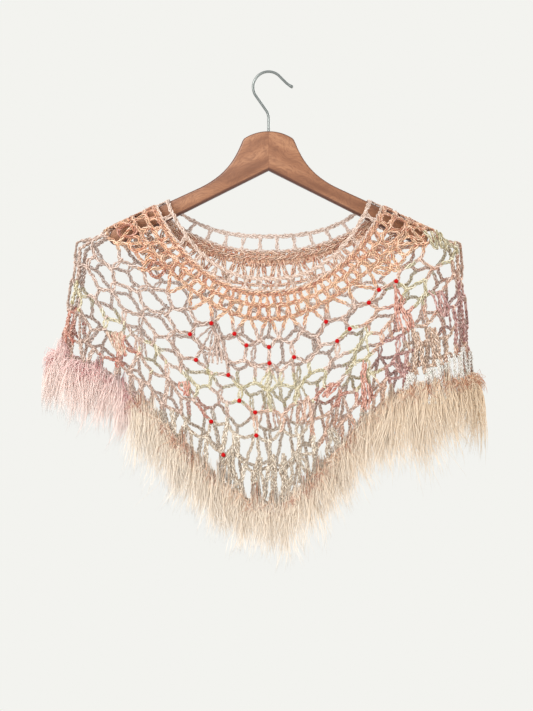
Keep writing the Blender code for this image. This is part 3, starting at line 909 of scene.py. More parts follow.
def yarn_at(points, across, down, draw):
    """Which yarn is worked at each point, as an index into the tones."""
    x = points[:, 0] / MM + draw.normal(0, STRAY["place"])
    z = points[:, 2] / MM + draw.normal(0, STRAY["place"])
    steps = down + draw.normal(0, STRAY["down"])
    yarn = np.full(len(x), TONE_NAMES.index("blush"))
    yarn[(x < ROSE_CORNER[0]) & (z > ROSE_CORNER[1])] = TONE_NAMES.index("rose")
    yarn[x > APRICOT_FROM] = TONE_NAMES.index("apricot")
    yarn[z < STONE_UNDER] = TONE_NAMES.index("stone")
    near = ((x[:, None] - PATCH_X) / PATCH_WIDE) ** 2
    near = near + ((z[:, None] - PATCH_Z) / PATCH_TALL) ** 2
    best = near.argmin(axis=1)
    inside = (near.min(axis=1) < 1) & (down > PATCHES_FROM)
    yarn[inside] = PATCH_TONE[best[inside]]
    peach_end = mix(PEACH_END["middle"], PEACH_END["side"], np.abs(across) ** 2)
    yarn[steps < peach_end] = TONE_NAMES.index("peach")
    return yarn


print("patches:", len(PATCH_ROWS))

# %% [markdown]
# ### Strands
#
# A strand runs smoothly through its knots. We draw a spline through them on the lace, take points
# at even distances along it, and let it wander by a millimetre or two, as a hand-worked strand
# does. Its plies lie beside that line. In a ribbon they turn round each other once in about 24
# mm. In a chain they cross like a plait, which looks as a crocheted chain does. Loose fibres
# stand off the yarn here and there, and each knot gets short turns of yarn over it.

# %% Stitches
# The sizes of a stitch in millimetres: how thick a ply is, how far the plies stand out to the
# sides and off the lace, how long one turn of them is, and how far apart its points lie.
STITCH_PARTS = ("plies", "thick", "wide", "deep", "turn", "step", "lobes", "sides")
STITCH_ROWS = {
    "cord": (2, 1.15, 1.20, 0.60, 15, 2.6, 1, 5),
    "fine": (2, 0.98, 1.05, 0.62, 19, 2.6, 1, 5),
    "ribbon": (3, 1.08, 1.85, 1.00, 24, 2.7, 1, 5),
    "thick": (4, 1.15, 2.50, 1.10, 52, 3.0, 1, 5),
    "chain": (3, 1.00, 1.65, 1.05, 14, 1.9, 2, 4),
    "plait": (3, 1.30, 2.30, 1.25, 19, 2.1, 2, 5),
}
STITCHES = {name: dict(zip(STITCH_PARTS, row, strict=True)) for name, row in STITCH_ROWS.items()}
print("stitches:", list(STITCHES))

# %% Smooth lines
SPAN_POINTS = 10
WANDER_WAVES = ((23, 0.6), (11, 0.4))
WANDER_PHASE = 6.3
WANDER_EASE = 6 * MM


def spline(knots):
    """Points on a smooth line through the knots."""
    knots = np.asarray(knots, float)
    if len(knots) == 2:
        return mix(knots[0], knots[1], np.linspace(0, 1, 2 * SPAN_POINTS)[:, None])
    ends = np.stack([2 * knots[0] - knots[1], 2 * knots[-1] - knots[-2]])
    padded = np.concatenate([ends[:1], knots, ends[1:]])
    t = (np.arange(SPAN_POINTS) / SPAN_POINTS)[:, None]
    spans = []
    for a, b, c, d in zip(padded[:-3], padded[1:-2], padded[2:-1], padded[3:], strict=True):
        spans.append(
            b
            + 0.5 * t * (c - a)
            + t**2 * (a - 2.5 * b + 2 * c - 0.5 * d)
            + t**3 * (1.5 * b - 0.5 * a - 1.5 * c + 0.5 * d)
        )
    return np.concatenate([*spans, padded[-2:-1]])


def lengths_along(points):
    """How far along its line each point lies."""
    return np.concatenate([[0], np.cumsum(np.linalg.norm(np.diff(points, axis=0), axis=1))])


def along_lace(side, knots, step):
    """Even points on a smooth line through knots given as (across, down)."""
    dense = spline(knots)
    run = lengths_along(lace(side, dense[:, 0], dense[:, 1]))
    count = max(round(run[-1] / step), 3) + 1
    at = np.linspace(0, run[-1], count)
    across, down = (np.interp(at, run, dense[:, i]) for i in range(2))
    return lace(side, across, down), across, down, at


def wander(run, draw, size):
    """A slow drift along a strand that is nothing at both its ends."""
    waves = sum(
        np.sin(run / (length * MM) * 2 * math.pi + draw.uniform(0, WANDER_PHASE)) * share
        for length, share in WANDER_WAVES
    )
    hold = np.minimum(np.minimum(run, run[-1] - run) / WANDER_EASE, 1)
    return waves * hold * size


print("points on a straight span:", len(spline([(0, 0), (0, 1)])))

# %% Strands
PLY_PALE = (0.0, 0.20, 0.02, 0.12)
PLY_SHADE = (0.92, 1.06, 0.66, 1.0)
# The back's yarn is painted paler, a painted light that lifts it out of the shade it hangs in. Yarn given
# by name gets GIVEN_YARN_PALE of it.
SIDE_PAINTED_LIGHT = {"front": 0.0, "back": 0.22}
GIVEN_YARN_PALE = 0.8
THICK_SCATTER = (0.92, 1.08)
SHADE_SCATTER = (0.94, 1.05)
OUTWARD_WANDER = 0.6


def lay_strand(skein, side, knots, stitch, draw, lift=0.0, bow=0.0, yarn=None, rough=0.8 * MM):
    """Adds one strand through these knots. Bow bends it sideways, as one of a pair."""
    kind = STITCHES[stitch]
    points, across, down, run = along_lace(side, knots, kind["step"] * MM)
    out = lace_out(side, points)
    along = unit(np.gradient(points, axis=0))
    beside = unit(np.cross(along, out))
    side_way = wander(run, draw, rough) + bow * np.sin(math.pi * run / run[-1])
    points = points + beside * side_way[:, None]
    points = points + out * (lift + wander(run, draw, rough * OUTWARD_WANDER))[:, None]
    if yarn is None:
        here = yarn_at(points, across, down, draw)
    else:
        here = np.full(len(run), TONE_NAMES.index(yarn))
    skein.paths.append(np.concatenate([points, out, BASES[here]], axis=1))
    phase = draw.uniform(0, 2 * math.pi)
    hand = draw.choice((-1, 1))
    plies = kind["plies"]
    for ply in range(plies):
        angle = 2 * math.pi * (ply / plies + hand * run / (kind["turn"] * MM)) + phase
        line = points + beside * (kind["wide"] * MM * np.cos(angle))[:, None]
        line = line + out * (kind["deep"] * MM * np.sin(kind["lobes"] * angle))[:, None]
        thick = kind["thick"] * MM * draw.uniform(*THICK_SCATTER, len(run))
        # The back's painted light, a little weaker on yarn given by name.
        pale = PLY_PALE[ply] + SIDE_PAINTED_LIGHT[side] * (1.0 if yarn is None else GIVEN_YARN_PALE)
        tone = yarn_tones(here, draw, PLY_SHADE[ply] * draw.uniform(*SHADE_SCATTER), pale)
        skein.lay(
            line[None],
            thick[None],
            out[None],
            tone[None],
            run[None] + draw.uniform(0, 1),
            sides=kind["sides"],
        )


# %% Loose fibres
FRAY_SHARE = {"front": 0.24, "back": 0.12}
FRAY_LENGTH = 5.5 * MM
FRAY_LENGTHS = (0.4, 1.0)
FRAY_THICK = 0.18 * MM
FRAY_POINTS = 4
FRAY_OUTWARD = 0.7
FRAY_DROOP = 0.8
FRAY_BEND = 0.8
FRAY_TAPER = 0.6
FRAY_PALE = 0.3


def fray(skein, side, draw):
    """Adds the loose fibres that stand off a hand-spun yarn."""
    spots = np.concatenate(skein.paths)
    spots = spots[draw.random(len(spots)) < FRAY_SHARE[side]]
    start, out, tone = spots[:, :3], spots[:, 3:6], spots[:, 6:]
    count = len(spots)
    way = unit(draw.normal(0, 1, (count, 3)) + out * FRAY_OUTWARD)
    bend = unit(draw.normal(0, 1, (count, 3)) + np.array((0, 0, -FRAY_DROOP)))
    length = draw.uniform(*FRAY_LENGTHS, count)[:, None, None] * FRAY_LENGTH
    share = np.linspace(0, 1, FRAY_POINTS)[None, :, None]
    lines = start[:, None] + (way[:, None] * share + bend[:, None] * share**2 * FRAY_BEND) * length
    radii = FRAY_THICK * (1 - FRAY_TAPER * share[..., 0]) * np.ones((count, 1))
    outs = np.broadcast_to(out[:, None] + 1e-4, lines.shape)
    tones = np.broadcast_to(mix(tone, 1.0, FRAY_PALE)[:, None], lines.shape)
    runs = length[..., 0] * share[..., 0]
    skein.lay(lines, radii, outs, tones, runs, sides=3, pointed=True)


print("share of places with a loose fibre:", FRAY_SHARE)

# %% Turns of yarn over the knots
KNOT_TURNS = 2
KNOT_POINTS = 6
KNOT_REACH = (2.0, 3.4)
KNOT_HEIGHT = {"middle": 2.6, "fall": 2.2}
KNOT_THICK = 1.15 * MM
KNOT_SCATTER = (0.85, 1.15)
KNOT_SHADE = 1.02
KNOT_PALE = 0.1
KNOT_RUN = 3


def tie_knots(skein, side, draw):
    """Adds short turns of yarn over every knot of the net."""
    last = 2 * COLUMNS[side]
    places = [
        round_knot(side, column, line)
        for line in range(1, HEM_ROUND)
        for column in range(1, last)
        for _ in range(KNOT_TURNS)
    ]
    across, down = np.array(places).T
    middle = lace(side, across, down)
    out = lace_out(side, middle)
    yarn = yarn_at(middle, across, down, draw)
    level = unit(np.cross(out, np.array((0, 0, 1.0))))
    turn = draw.uniform(0, math.pi, len(middle))[:, None]
    way = level * np.cos(turn) + np.cross(out, level) * np.sin(turn)
    share = np.linspace(-1, 1, KNOT_POINTS)[None, :, None]
    half = draw.uniform(*KNOT_REACH, len(middle))[:, None, None] * MM
    lines = middle[:, None] + way[:, None] * share * half
    height = KNOT_HEIGHT["middle"] - KNOT_HEIGHT["fall"] * share**2
    lines = lines + out[:, None] * height * MM
    radii = np.full(lines.shape[:2], KNOT_THICK) * draw.uniform(*KNOT_SCATTER, (len(middle), 1))
    outs = np.broadcast_to(out[:, None], lines.shape)
    tone = yarn_tones(yarn, draw, KNOT_SHADE, KNOT_PALE)
    tones = np.repeat(tone[:, None], KNOT_POINTS, axis=1)
    runs = np.broadcast_to((share[..., 0] + 1) * KNOT_RUN * MM, lines.shape[:2])
    skein.lay(lines, radii, outs, tones, runs, sides=5)


print("turns over each knot:", KNOT_TURNS)

# %% [markdown]
# ### The yarn's finish
#
# A ply is spun: fine fibres run round it at a slant. The fibre attribute gives the distance along
# the ply and the direction round it, so a sine of both is a smooth slanting ridge with no seam.
# The ridge is also painted into the tone as light and shade, and it raises the surface by about a
# tenth of a millimetre. The sides of a ply, which face its neighbours, get a painted shade in a
# darker, warmer tone, so the plies stand apart, and the side that faces into the capelet can get a
# little painted shade too.


# %% Yarn finish
FUZZ_SCALE = 1100.0
CROWN = 1.15
SHADE_START = 0.08
RIDGE_SHADE = 0.28
FUZZ_SHADE = 0.7


def yarn_finish(name, gloss, inner_shade, dark, depth, turn):
    """Dark tints the painted shade in the hollows, depth sets its strength, turn the slant in mm."""
    finish = Finish(name, roughness=0.8 - 0.25 * gloss, sheen_weight=0.2 + 0.2 * gloss)
    tone = finish.attribute("tone", "Color")
    run, level, rise = finish.parts(finish.attribute("fibre", "Vector"))
    spin = run * (2 * math.pi / (turn * MM))
    slant = spin.sine() * level + spin.cosine() * rise
    fuzz = finish.noise(finish.place(), FUZZ_SCALE)
    # Painted shade: the sides of each ply are darkened as if in shade while its crown stays light, the
    # inner weight darkens the side that faces into the capelet, and the slant paints light and shade on the
    # twist.
    shade = SHADE_START / depth + (rise * rise * CROWN + rise * inner_shade)
    shade = shade + slant * (RIDGE_SHADE * depth) + (fuzz - 0.5) * (FUZZ_SHADE * depth)
    darker = finish.blend(1.0, tone, opaque(dark), "MULTIPLY")
    finish.vary(
        base_color=finish.blend(shade, darker, tone),
        roughness=0.66 - 0.2 * gloss + fuzz * 0.2,
        normal=finish.relief(slant + fuzz * 1.2, 0.12 * MM, 0.7),
    )
    return finish


# Each: its gloss, the painted shade of the side facing in, the tone of the painted shade in the hollows,
# how strong that painted shade is, and the slant's turn in mm.
yarn_finishes = {
    "taupe": yarn_finish("taupe yarn", 0.1, 0.0, (0.46, 0.38, 0.34), depth=1.1, turn=4.2),
    "peach": yarn_finish("peach ribbon yarn", 0.7, 0.0, (0.33, 0.18, 0.12), depth=1.35, turn=2.4),
    "blush": yarn_finish("mixed blush yarn", 0.3, 0.06, (0.42, 0.33, 0.27), depth=1.2, turn=4.2),
}
print("yarn finishes:", list(yarn_finishes))

# %% [markdown]
# ## The neck edging
#
# The round neck is edged by two turns of thin two-ply cord. Below them stand wavy posts a
# finger's width apart, which leave square eyelets, and another cord closes them.


# %% Neck edging
NECK_CORDS = ((0.004, 0.0), (0.010, 0.5 * MM))
EYELET_CORD = 0.061
POST_HEIGHTS = (0.008, 0.024, 0.044, 0.062)
POST_HALF = 0.07
POST_FOOT = 2.2
POST_ROUGH = 0.5 * MM


def level_way(side, down):
    """The knots of a line that runs across the lace at one height."""
    columns = np.linspace(0, 2 * COLUMNS[side], 2 * COLUMNS[side] + 1)
    return [(column_across(side, column), down) for column in columns]


def lay_level(skein, side, down, stitch, draw, lift=0.0, yarn="peach", rough=0.8 * MM):
    """Adds a strand that runs across the lace at one height."""
    way = level_way(side, down)
    lay_strand(skein, side, way, stitch, draw, lift, yarn=yarn, rough=rough)


def work_neck(side):
    skein = Skein()
    draw = np.random.default_rng(11 + len(side))
    last = 2 * COLUMNS[side]
    for down, lift in NECK_CORDS:
        lay_level(skein, side, down, "cord", draw, lift, "taupe")
    lay_level(skein, side, EYELET_CORD, "cord", draw, yarn="taupe")
    for column in range(0, last + 1, 2):
        if side == "back" and column in (0, last):
            continue
        for offset in (-POST_HALF, POST_HALF):
            sway = draw.uniform(-POST_HALF, POST_HALF)
            foot = column + offset * POST_FOOT
            places = (foot, column + offset + sway, column + offset - sway, foot)
            knots = [
                (column_across(side, max(place, 0)), down)
                for place, down in zip(places, POST_HEIGHTS, strict=True)
            ]
            lay_strand(skein, side, knots, "fine", draw, yarn="taupe", rough=POST_ROUGH)
    return skein


neck_pieces = {}
for side in ("front", "back"):
    neck_pieces[side] = work_neck(side).finish(f"neck_{side}_yarn", yarn_finishes["taupe"])
    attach(neck_pieces[side], "root")
    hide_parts(f"neck_edging_{side}")

# %% [markdown]
# ## The yoke
#
# Below the eyelets the lace turns dense and peach. On the front a ribbon and a chain come first,
# then a round of small rings, a ribbon, and a round of larger rings over a last chain. On the
# back, which the photograph hides, a band of small loops comes first, drawn as strands that curl
# as they go. Under it pairs of stitches meet in a row of V shapes, with an upright bar between
# each two.

# %% Small loops
LOOP_PITCH = 7.5 * MM
LOOP_SIZE = 3.6 * MM
LOOP_STEP = 1.2 * MM
LOOP_THICK = 0.95 * MM
LOOP_PLIES = (-0.9 * MM, 0.9 * MM)
LOOP_END = 0.995
LACE_FALL = 310 * MM


def lay_loops(skein, side, down, draw, yarn):
    """A strand that curls in small loops along the lace."""
    _, across, downs, run = along_lace(side, level_way(side, down), LOOP_STEP)
    turn = run / LOOP_PITCH * 2 * math.pi + 1.6 * np.sin(run / (17 * MM)) + draw.uniform(0, 6)
    stretch = 1 / np.abs(outline(across, downs)[0])
    size = LOOP_SIZE * (1 + 0.35 * np.sin(run / (13 * MM)))
    curled = across + size * np.sin(turn) * stretch
    dropped = downs + size * np.cos(turn) / LACE_FALL
    part = slice(*np.flatnonzero(np.abs(curled) < LOOP_END)[[0, -1]])
    points = lace(side, np.clip(curled, -1, 1), dropped)
    out = lace_out(side, points)
    points = points + out * ((1.6 + 0.8 * np.sin(turn + 1)) * MM)[:, None]
    here = np.full(len(run), TONE_NAMES.index(yarn))
    thick = np.full(len(run), LOOP_THICK)
    for offset in LOOP_PLIES:
        line = points + np.array((0, 0, offset))
        tone = yarn_tones(here, draw, draw.uniform(0.95, 1.06), draw.uniform(0.05, 0.25))
        skein.lay(*(row[None, part] for row in (line, thick, out, tone, run)), sides=4)


print("loops to a metre:", round(1 / LOOP_PITCH))

# %% Rings
RING_POINTS = 13
RING_TILT = 0.12
RING_ROUGH = 0.5 * MM


def lay_ring(skein, side, column, top, bottom, stitch, draw, width=0.5, yarn="peach", jag=0.0):
    """An oval ring between two heights, centred on a column. Jag makes it uneven."""
    middle, tall = (top + bottom) / 2, (bottom - top) / 2
    turns = np.linspace(0, 2 * math.pi, RING_POINTS) + draw.uniform(0, 6)
    tilt = draw.uniform(-RING_TILT, RING_TILT)
    knots = []
    for turn in turns:
        round_in = 0.88 + 0.12 * math.cos(4 * turn)
        sideways = width * math.sin(turn) * (2 - round_in) + tilt * math.cos(turn)
        place = min(max(column + sideways + draw.normal(0, jag), 0), 2 * COLUMNS[side])
        height = tall * math.cos(turn) * (2 - round_in) + draw.normal(0, jag) * tall
        knots.append((column_across(side, place), middle + height))
    knots[-1] = knots[0]
    lift = draw.uniform(0, 1) * MM
    lay_strand(skein, side, knots, stitch, draw, lift, yarn=yarn, rough=RING_ROUGH)


print("points of a ring:", RING_POINTS)

# %% Front of the yoke
YOKE_TOP = 0.069
YOKE_FOOT = 0.189
FRONT_CHAIN = 0.079
SMALL_RINGS = {"top": 0.081, "bottom": 0.123, "width": 0.33, "step": 0.78, "salmon": 0.25}
RIBBON_BETWEEN = 0.126
LARGE_RINGS = {"top": 0.129, "bottom": 0.184, "width": 0.42, "salmon": 0.2}
RING_JAG = 0.02
TOP_ROUGH = 1.4 * MM
LOW_ROUGH = 1.8 * MM


def lay_rings(skein, columns, stitch, rings, draw):
    """A round of rings on the front, of which a share is salmon."""
    for column in columns:
        yarn = "salmon" if draw.random() < rings["salmon"] else "peach"
        ends = (rings["top"], rings["bottom"])
        lay_ring(skein, "front", column, *ends, stitch, draw, rings["width"], yarn, RING_JAG)


def work_front_yoke(skein, draw):
    last = 2 * COLUMNS["front"]
    lay_level(skein, "front", FRONT_CHAIN, "chain", draw, MM, "salmon", TOP_ROUGH)
    lay_rings(skein, np.arange(0.4, last, SMALL_RINGS["step"]), "fine", SMALL_RINGS, draw)
    lay_rings(skein, np.arange(last) + 0.5, "ribbon", LARGE_RINGS, draw)
    lay_level(skein, "front", RIBBON_BETWEEN, "ribbon", draw, MM, rough=LOW_ROUGH)
    lay_level(skein, "front", YOKE_FOOT, "chain", draw, MM, rough=LOW_ROUGH)


print("large rings on the front:", 2 * COLUMNS["front"])

# %% Back of the yoke
BACK_RIBBON = 0.088
LOOP_HEIGHTS = (0.077, 0.086, 0.095, 0.104)
V_HEIGHTS = (0.106, 0.14, 0.180)
V_LEAN = {"top": 0.62, "foot": 0.15}
BAR_HEIGHTS = (0.108, 0.184)


def work_back_yoke(skein, draw):
    """Loops over V stitches, with an upright bar between each two of these."""
    lay_level(skein, "back", BACK_RIBBON, "ribbon", draw, rough=TOP_ROUGH)
    for down in LOOP_HEIGHTS:
        lay_loops(skein, "back", down, draw, "peach")
    for column in range(0, 2 * COLUMNS["back"], 2):
        for lean in (-V_LEAN["top"], V_LEAN["top"]):
            top = column_across("back", column + 1 + lean)
            foot = column_across("back", column + 1 + lean * V_LEAN["foot"])
            knots = list(zip((top, mix(top, foot, 0.4), foot), V_HEIGHTS, strict=True))
            lay_strand(skein, "back", knots, "thick", draw, yarn="peach")
        upper = column_across("back", column)
        bar = [(upper, down) for down in BAR_HEIGHTS]
        lay_strand(skein, "back", bar, "ribbon", draw, yarn="peach")
    lay_level(skein, "back", YOKE_FOOT, "ribbon", draw)


print("V stitches on the back:", COLUMNS["back"])


# %% Yoke
def work_yoke(side):
    skein = Skein()
    draw = np.random.default_rng(23 + len(side))
    lay_level(skein, side, YOKE_TOP, "ribbon", draw, rough=TOP_ROUGH)
    if side == "front":
        work_front_yoke(skein, draw)
    else:
        work_back_yoke(skein, draw)
    fray(skein, side, draw)
    return skein


yoke_pieces = {}
for side in ("front", "back"):
    yoke_pieces[side] = work_yoke(side).finish(f"yoke_{side}_yarn", yarn_finishes["peach"])
    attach(yoke_pieces[side], "root")
    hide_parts(f"yoke_{side}")

# %% [markdown]
# ## The net
#
# From the yoke hang pairs of strands that meet in the first knots. Below them each round is one
# strand that swings from knot to knot, and short strands join each round to the next. Some of
# these are doubled, and towards the hem they turn into thick chains with more chains between
# them. Large rings lie over the shoulders. Here and there a mesh is filled with a fan of fine
# strands, and on the front a table lists bunches of strands that spread or gather. Chance decides
# the rest, with a seed, so the net comes out the same each time.

# %% Rounds of the net
DOUBLE_CHANCE = 0.42
DOUBLE_BOW = 2.4 * MM
CHAINS_FROM = 5
SAG = 0.010
PAIR_TOP = 0.188
PAIR_LEAN = 0.8
ROUND_ROUGH = 1.0 * MM


def work_levels(skein, side, draw):
    """Each round's own strand, which hangs a little between its knots near the hem."""
    last = 2 * COLUMNS[side]
    for line in range(1, HEM_ROUND + 1):
        knots = []
        for column in range(last + 1):
            knots.append(round_knot(side, column, line))
            if column < last and line >= CHAINS_FROM:
                across, down = between_knots(side, column + 0.5, line)
                knots.append((across, down + draw.uniform(0, SAG if line < HEM_ROUND else 0)))
        stitch = "chain" if line >= CHAINS_FROM else "ribbon"
        lay_strand(skein, side, knots, stitch, draw, rough=ROUND_ROUGH)


def work_pairs(skein, side, draw):
    """The pairs of strands that hang from the yoke and meet in the first knots."""
    last = 2 * COLUMNS[side]
    for column in range(0, last + 1, 2):
        foot = round_knot(side, column, 1)
        for lean in (-PAIR_LEAN, PAIR_LEAN):
            start = min(max(column + lean, 0), last)
            ends = [(column_across(side, start), PAIR_TOP), foot]
            lay_strand(skein, side, ends, "ribbon", draw, bow=lean * MM)


def work_joins(skein, side, draw):
    """The short strands that join each round to the next."""
    for line in range(1, HEM_ROUND):
        for column in range(line % 2, 2 * COLUMNS[side] + 1, 2):
            ends = [round_knot(side, column, line), round_knot(side, column, line + 1)]
            if line >= CHAINS_FROM:
                lay_strand(skein, side, ends, "chain", draw)
            elif draw.random() < DOUBLE_CHANCE:
                for bow in (-DOUBLE_BOW, DOUBLE_BOW):
                    lay_strand(skein, side, ends, "fine", draw, bow=bow)
            else:
                lay_strand(skein, side, ends, "ribbon", draw)


def work_rounds(side):
    """The rounds, and the strands that join them."""
    skein = Skein()
    draw = np.random.default_rng(37 + len(side))
    work_levels(skein, side, draw)
    work_pairs(skein, side, draw)
    work_joins(skein, side, draw)
    tie_knots(skein, side, draw)
    return skein


print("rounds of the net:", HEM_ROUND)

# %% Bunches of strands
# A bunch: its yarn, stitch and count, the middles of its top and foot in X and Z, both widths.
BUNCHES = (
    ("mint", "chain", 4, (193, -420), (197, -462), (6, 26)),
    ("mint", "chain", 4, (221, -414), (223, -462), (6, 28)),
    ("mint", "chain", 2, (230, -400), (243, -454), (2, 7)),
    ("mint", "chain", 3, (252, -394), (256, -448), (16, 14)),
    ("mint", "chain", 2, (264, -386), (270, -438), (4, 8)),
    ("mint", "chain", 2, (276, -392), (278, -438), (4, 7)),
    ("stone", "chain", 3, (-53, -524), (-53, -576), (4, 28)),
    ("stone", "chain", 3, (-13, -532), (-14, -592), (4, 17)),
    ("stone", "chain", 2, (6, -530), (5, -594), (3, 8)),
    ("stone", "chain", 3, (20, -532), (22, -592), (4, 14)),
    ("stone", "chain", 4, (36, -526), (50, -570), (5, 36)),
    ("stone", "chain", 3, (86, -496), (94, -536), (5, 24)),
    ("tan", "plait", 2, (201, -362), (207, -420), (5, 12)),
    ("tan", "plait", 2, (224, -356), (232, -410), (5, 12)),
    ("tan", "fine", 9, (-210, -364), (-201, -394), (21, 8)),
    ("coral", "fine", 5, (-207, -366), (-199, -396), (17, 6)),
    ("coral", "fine", 4, (-116, -431), (-112, -450), (12, 4)),
    ("coral", "fine", 5, (91, -433), (77, -452), (9, 5)),
    ("coral", "fine", 3, (131, -404), (134, -468), (4, 9)),
    ("rose", "fine", 5, (-69, -366), (-70, -407), (3, 25)),
    ("coral", "fine", 4, (172, -298), (187, -362), (4, 15)),
    ("mauve", "fine", 5, (231, -308), (239, -342), (17, 8)),
    ("lime", "ribbon", 4, (227, -226), (236, -251), (26, 12)),
    ("apricot", "fine", 4, (52, -452), (54, -486), (4, 18)),
)
BUNCH_DOWNS = (0.0, 0.35, 0.7, 1.0)
BUNCH_STRAY = {"mint": 0.6}
OTHER_STRAY = 1.8
BUNCH_LIFT = 4.5 * MM
ACROSS_TABLE, DOWN_TABLE = np.meshgrid(np.linspace(-0.99, 0.99, 595), np.linspace(0.2, 1.14, 377))
PLACES = lace("front", ACROSS_TABLE, DOWN_TABLE)


def find_on_front(x, z):
    """Where a place given in millimetres lies on the front lace."""
    away = np.hypot(PLACES[..., 0] - x * MM, PLACES[..., 2] - z * MM)
    nearest = np.unravel_index(away.argmin(), away.shape)
    return ACROSS_TABLE[nearest], DOWN_TABLE[nearest]


def hang_bunches(skein, draw):
    """Strands that spread or gather between two places, a bunch at a time."""
    for yarn, stitch, count, top, foot, wide in BUNCHES:
        for place in np.linspace(-0.5, 0.5, count):
            knots = []
            for down in BUNCH_DOWNS:
                x = mix(top[0], foot[0], down) + place * mix(*wide, down)
                z = mix(top[1], foot[1], down + draw.uniform(-0.05, 0.05))
                x += draw.normal(0, BUNCH_STRAY.get(yarn, OTHER_STRAY))
                knots.append(find_on_front(x, z))
            lift = BUNCH_LIFT * draw.uniform(0.5, 1.0)
            lay_strand(skein, "front", knots, stitch, draw, lift, yarn=yarn)


print("bunches:", len(BUNCHES))

# %% Fillings of the meshes
LADDER_ROUNDS = (5, 6)
SPREAD_UNTIL, MEET_UNTIL, HANG_UNTIL = 0.34, 0.60, 0.84
FAN_CHANCE = 0.08
FAN_STEPS = (-0.7, -0.25, 0.2, 0.65)
SHOULDER_STEPS = (0.5, 1.5, 2.5, 3.5, 4.5)
SHOULDER_RING = {"top": 0.204, "bottom": 0.262, "width": 0.44, "jag": 0.09}
SHOULDER_YARNS = ("rust", "salmon", "peach")
SHOULDER_SHARES = (0.2, 0.5)
EDGES = (-0.97, 0.97)
EDGE_PLAIT = (0.32, 0.45, 0.60, 0.75, 0.90, 0.99)
# Extra strands: from which column to which, and how many.
EXTRA_STRANDS = ((20.5, 26, 13), (12, 18, 5))
EXTRA_STITCHES = ("fine", "ribbon", "chain")


def lay_between(skein, side, top, foot, line, stitch, draw, bow=0.0):
    """A strand from a place on one round to a place on the next, both given as columns."""
    ends = [between_knots(side, top, line), between_knots(side, foot, line + 1)]
    lay_strand(skein, side, ends, stitch, draw, bow=bow)


def hang_chains(skein, side, middle, line, draw):
    """Fills one mesh near the hem with chains that spread, meet or hang alone."""
    way = draw.random()
    for lean in (-0.5, 0.5):
        far = middle + lean
        if way < SPREAD_UNTIL:
            near = middle + lean * 0.2
            lay_between(skein, side, near, far, line, "chain", draw, lean * MM)
        elif way < MEET_UNTIL:
            near = middle + lean * 0.15
            lay_between(skein, side, far, near, line, "plait", draw, lean * MM)
    if MEET_UNTIL <= way < HANG_UNTIL:
        lay_between(skein, side, middle, middle + draw.uniform(-0.4, 0.4), line, "plait", draw)


def fill_meshes(skein, side, draw):
    """Fans in a few of the upper meshes, and chains in those near the hem."""
    for line in range(1, HEM_ROUND):
        for middle in range(line % 2 + 1, 2 * COLUMNS[side], 2):
            if line in LADDER_ROUNDS:
                hang_chains(skein, side, middle, line, draw)
            elif draw.random() < FAN_CHANCE:
                for step in FAN_STEPS:
                    foot = middle + step + draw.uniform(-0.15, 0.15)
                    lay_between(skein, side, middle, foot, line, "fine", draw, step * 2 * MM)


def ring_shoulders(skein, side, draw):
    """A few large rings at both ends of the net's first meshes."""
    for step in SHOULDER_STEPS:
        for column in (step, 2 * COLUMNS[side] - step):
            yarn = SHOULDER_YARNS[int(np.searchsorted(SHOULDER_SHARES, draw.random()))]
            bottom = SHOULDER_RING["bottom"] + draw.uniform(0, 0.02)
            ends, shape = (SHOULDER_RING["top"], bottom), (SHOULDER_RING["width"], yarn)
            lay_ring(skein, side, column, *ends, "ribbon", draw, *shape, SHOULDER_RING["jag"])


def work_fillings(side):
    """All that is worked inside the meshes and over them."""
    skein = Skein()
    draw = np.random.default_rng(53 + len(side))
    fill_meshes(skein, side, draw)
    ring_shoulders(skein, side, draw)
    for edge in EDGES:
        knots = [(edge + draw.uniform(-0.015, 0.015), down) for down in EDGE_PLAIT]
        lay_strand(skein, side, knots, "plait", draw)
    if side == "front":
        hang_bunches(skein, draw)
    for first, final, count in EXTRA_STRANDS:
        for _ in range(count):
            column, line = draw.uniform(first, final), int(draw.integers(2, 6))
            foot = column + draw.uniform(-0.45, 0.45)
            stitch = EXTRA_STITCHES[int(draw.integers(0, 3))]
            bow = draw.uniform(-2, 2) * MM
            lay_between(skein, side, column, foot, line, stitch, draw, bow)
    fray(skein, side, draw)
    return skein


print("rounds with hanging chains:", LADDER_ROUNDS)

# %% Net
net_pieces = {}
for side in ("front", "back"):
    rounds, fillings = work_rounds(side), work_fillings(side)
    covered = rounds.covered()
    net_pieces[side] = rounds.finish(f"net_{side}_yarn", yarn_finishes["blush"])
    filling = fillings.finish(f"net_{side}_fillings", yarn_finishes["blush"])
    for piece in (net_pieces[side], filling):
        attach(piece, "root")
        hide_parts(f"net_{side}")
    net_pieces[side + "_fillings"] = filling
    net_pieces[side + "_area"] = covered
    print(side, "yarn pressed flat covers", round(covered, 4), "square metres")

# %% [markdown]
# ## The fringe
#
# The fringe is a long soft pile that hangs from the hem, pink at the left side and cream all
# round the rest. Each hair is a thin tapered tube with three sides. Hairs that start near each
# other lean to a common tip, which gives the locks, and a few stray. Short hairs cover the hem,
# and in some locks they are flecked with a darker fibre. Every hair is a little darker at its
# root and pale at its tip.

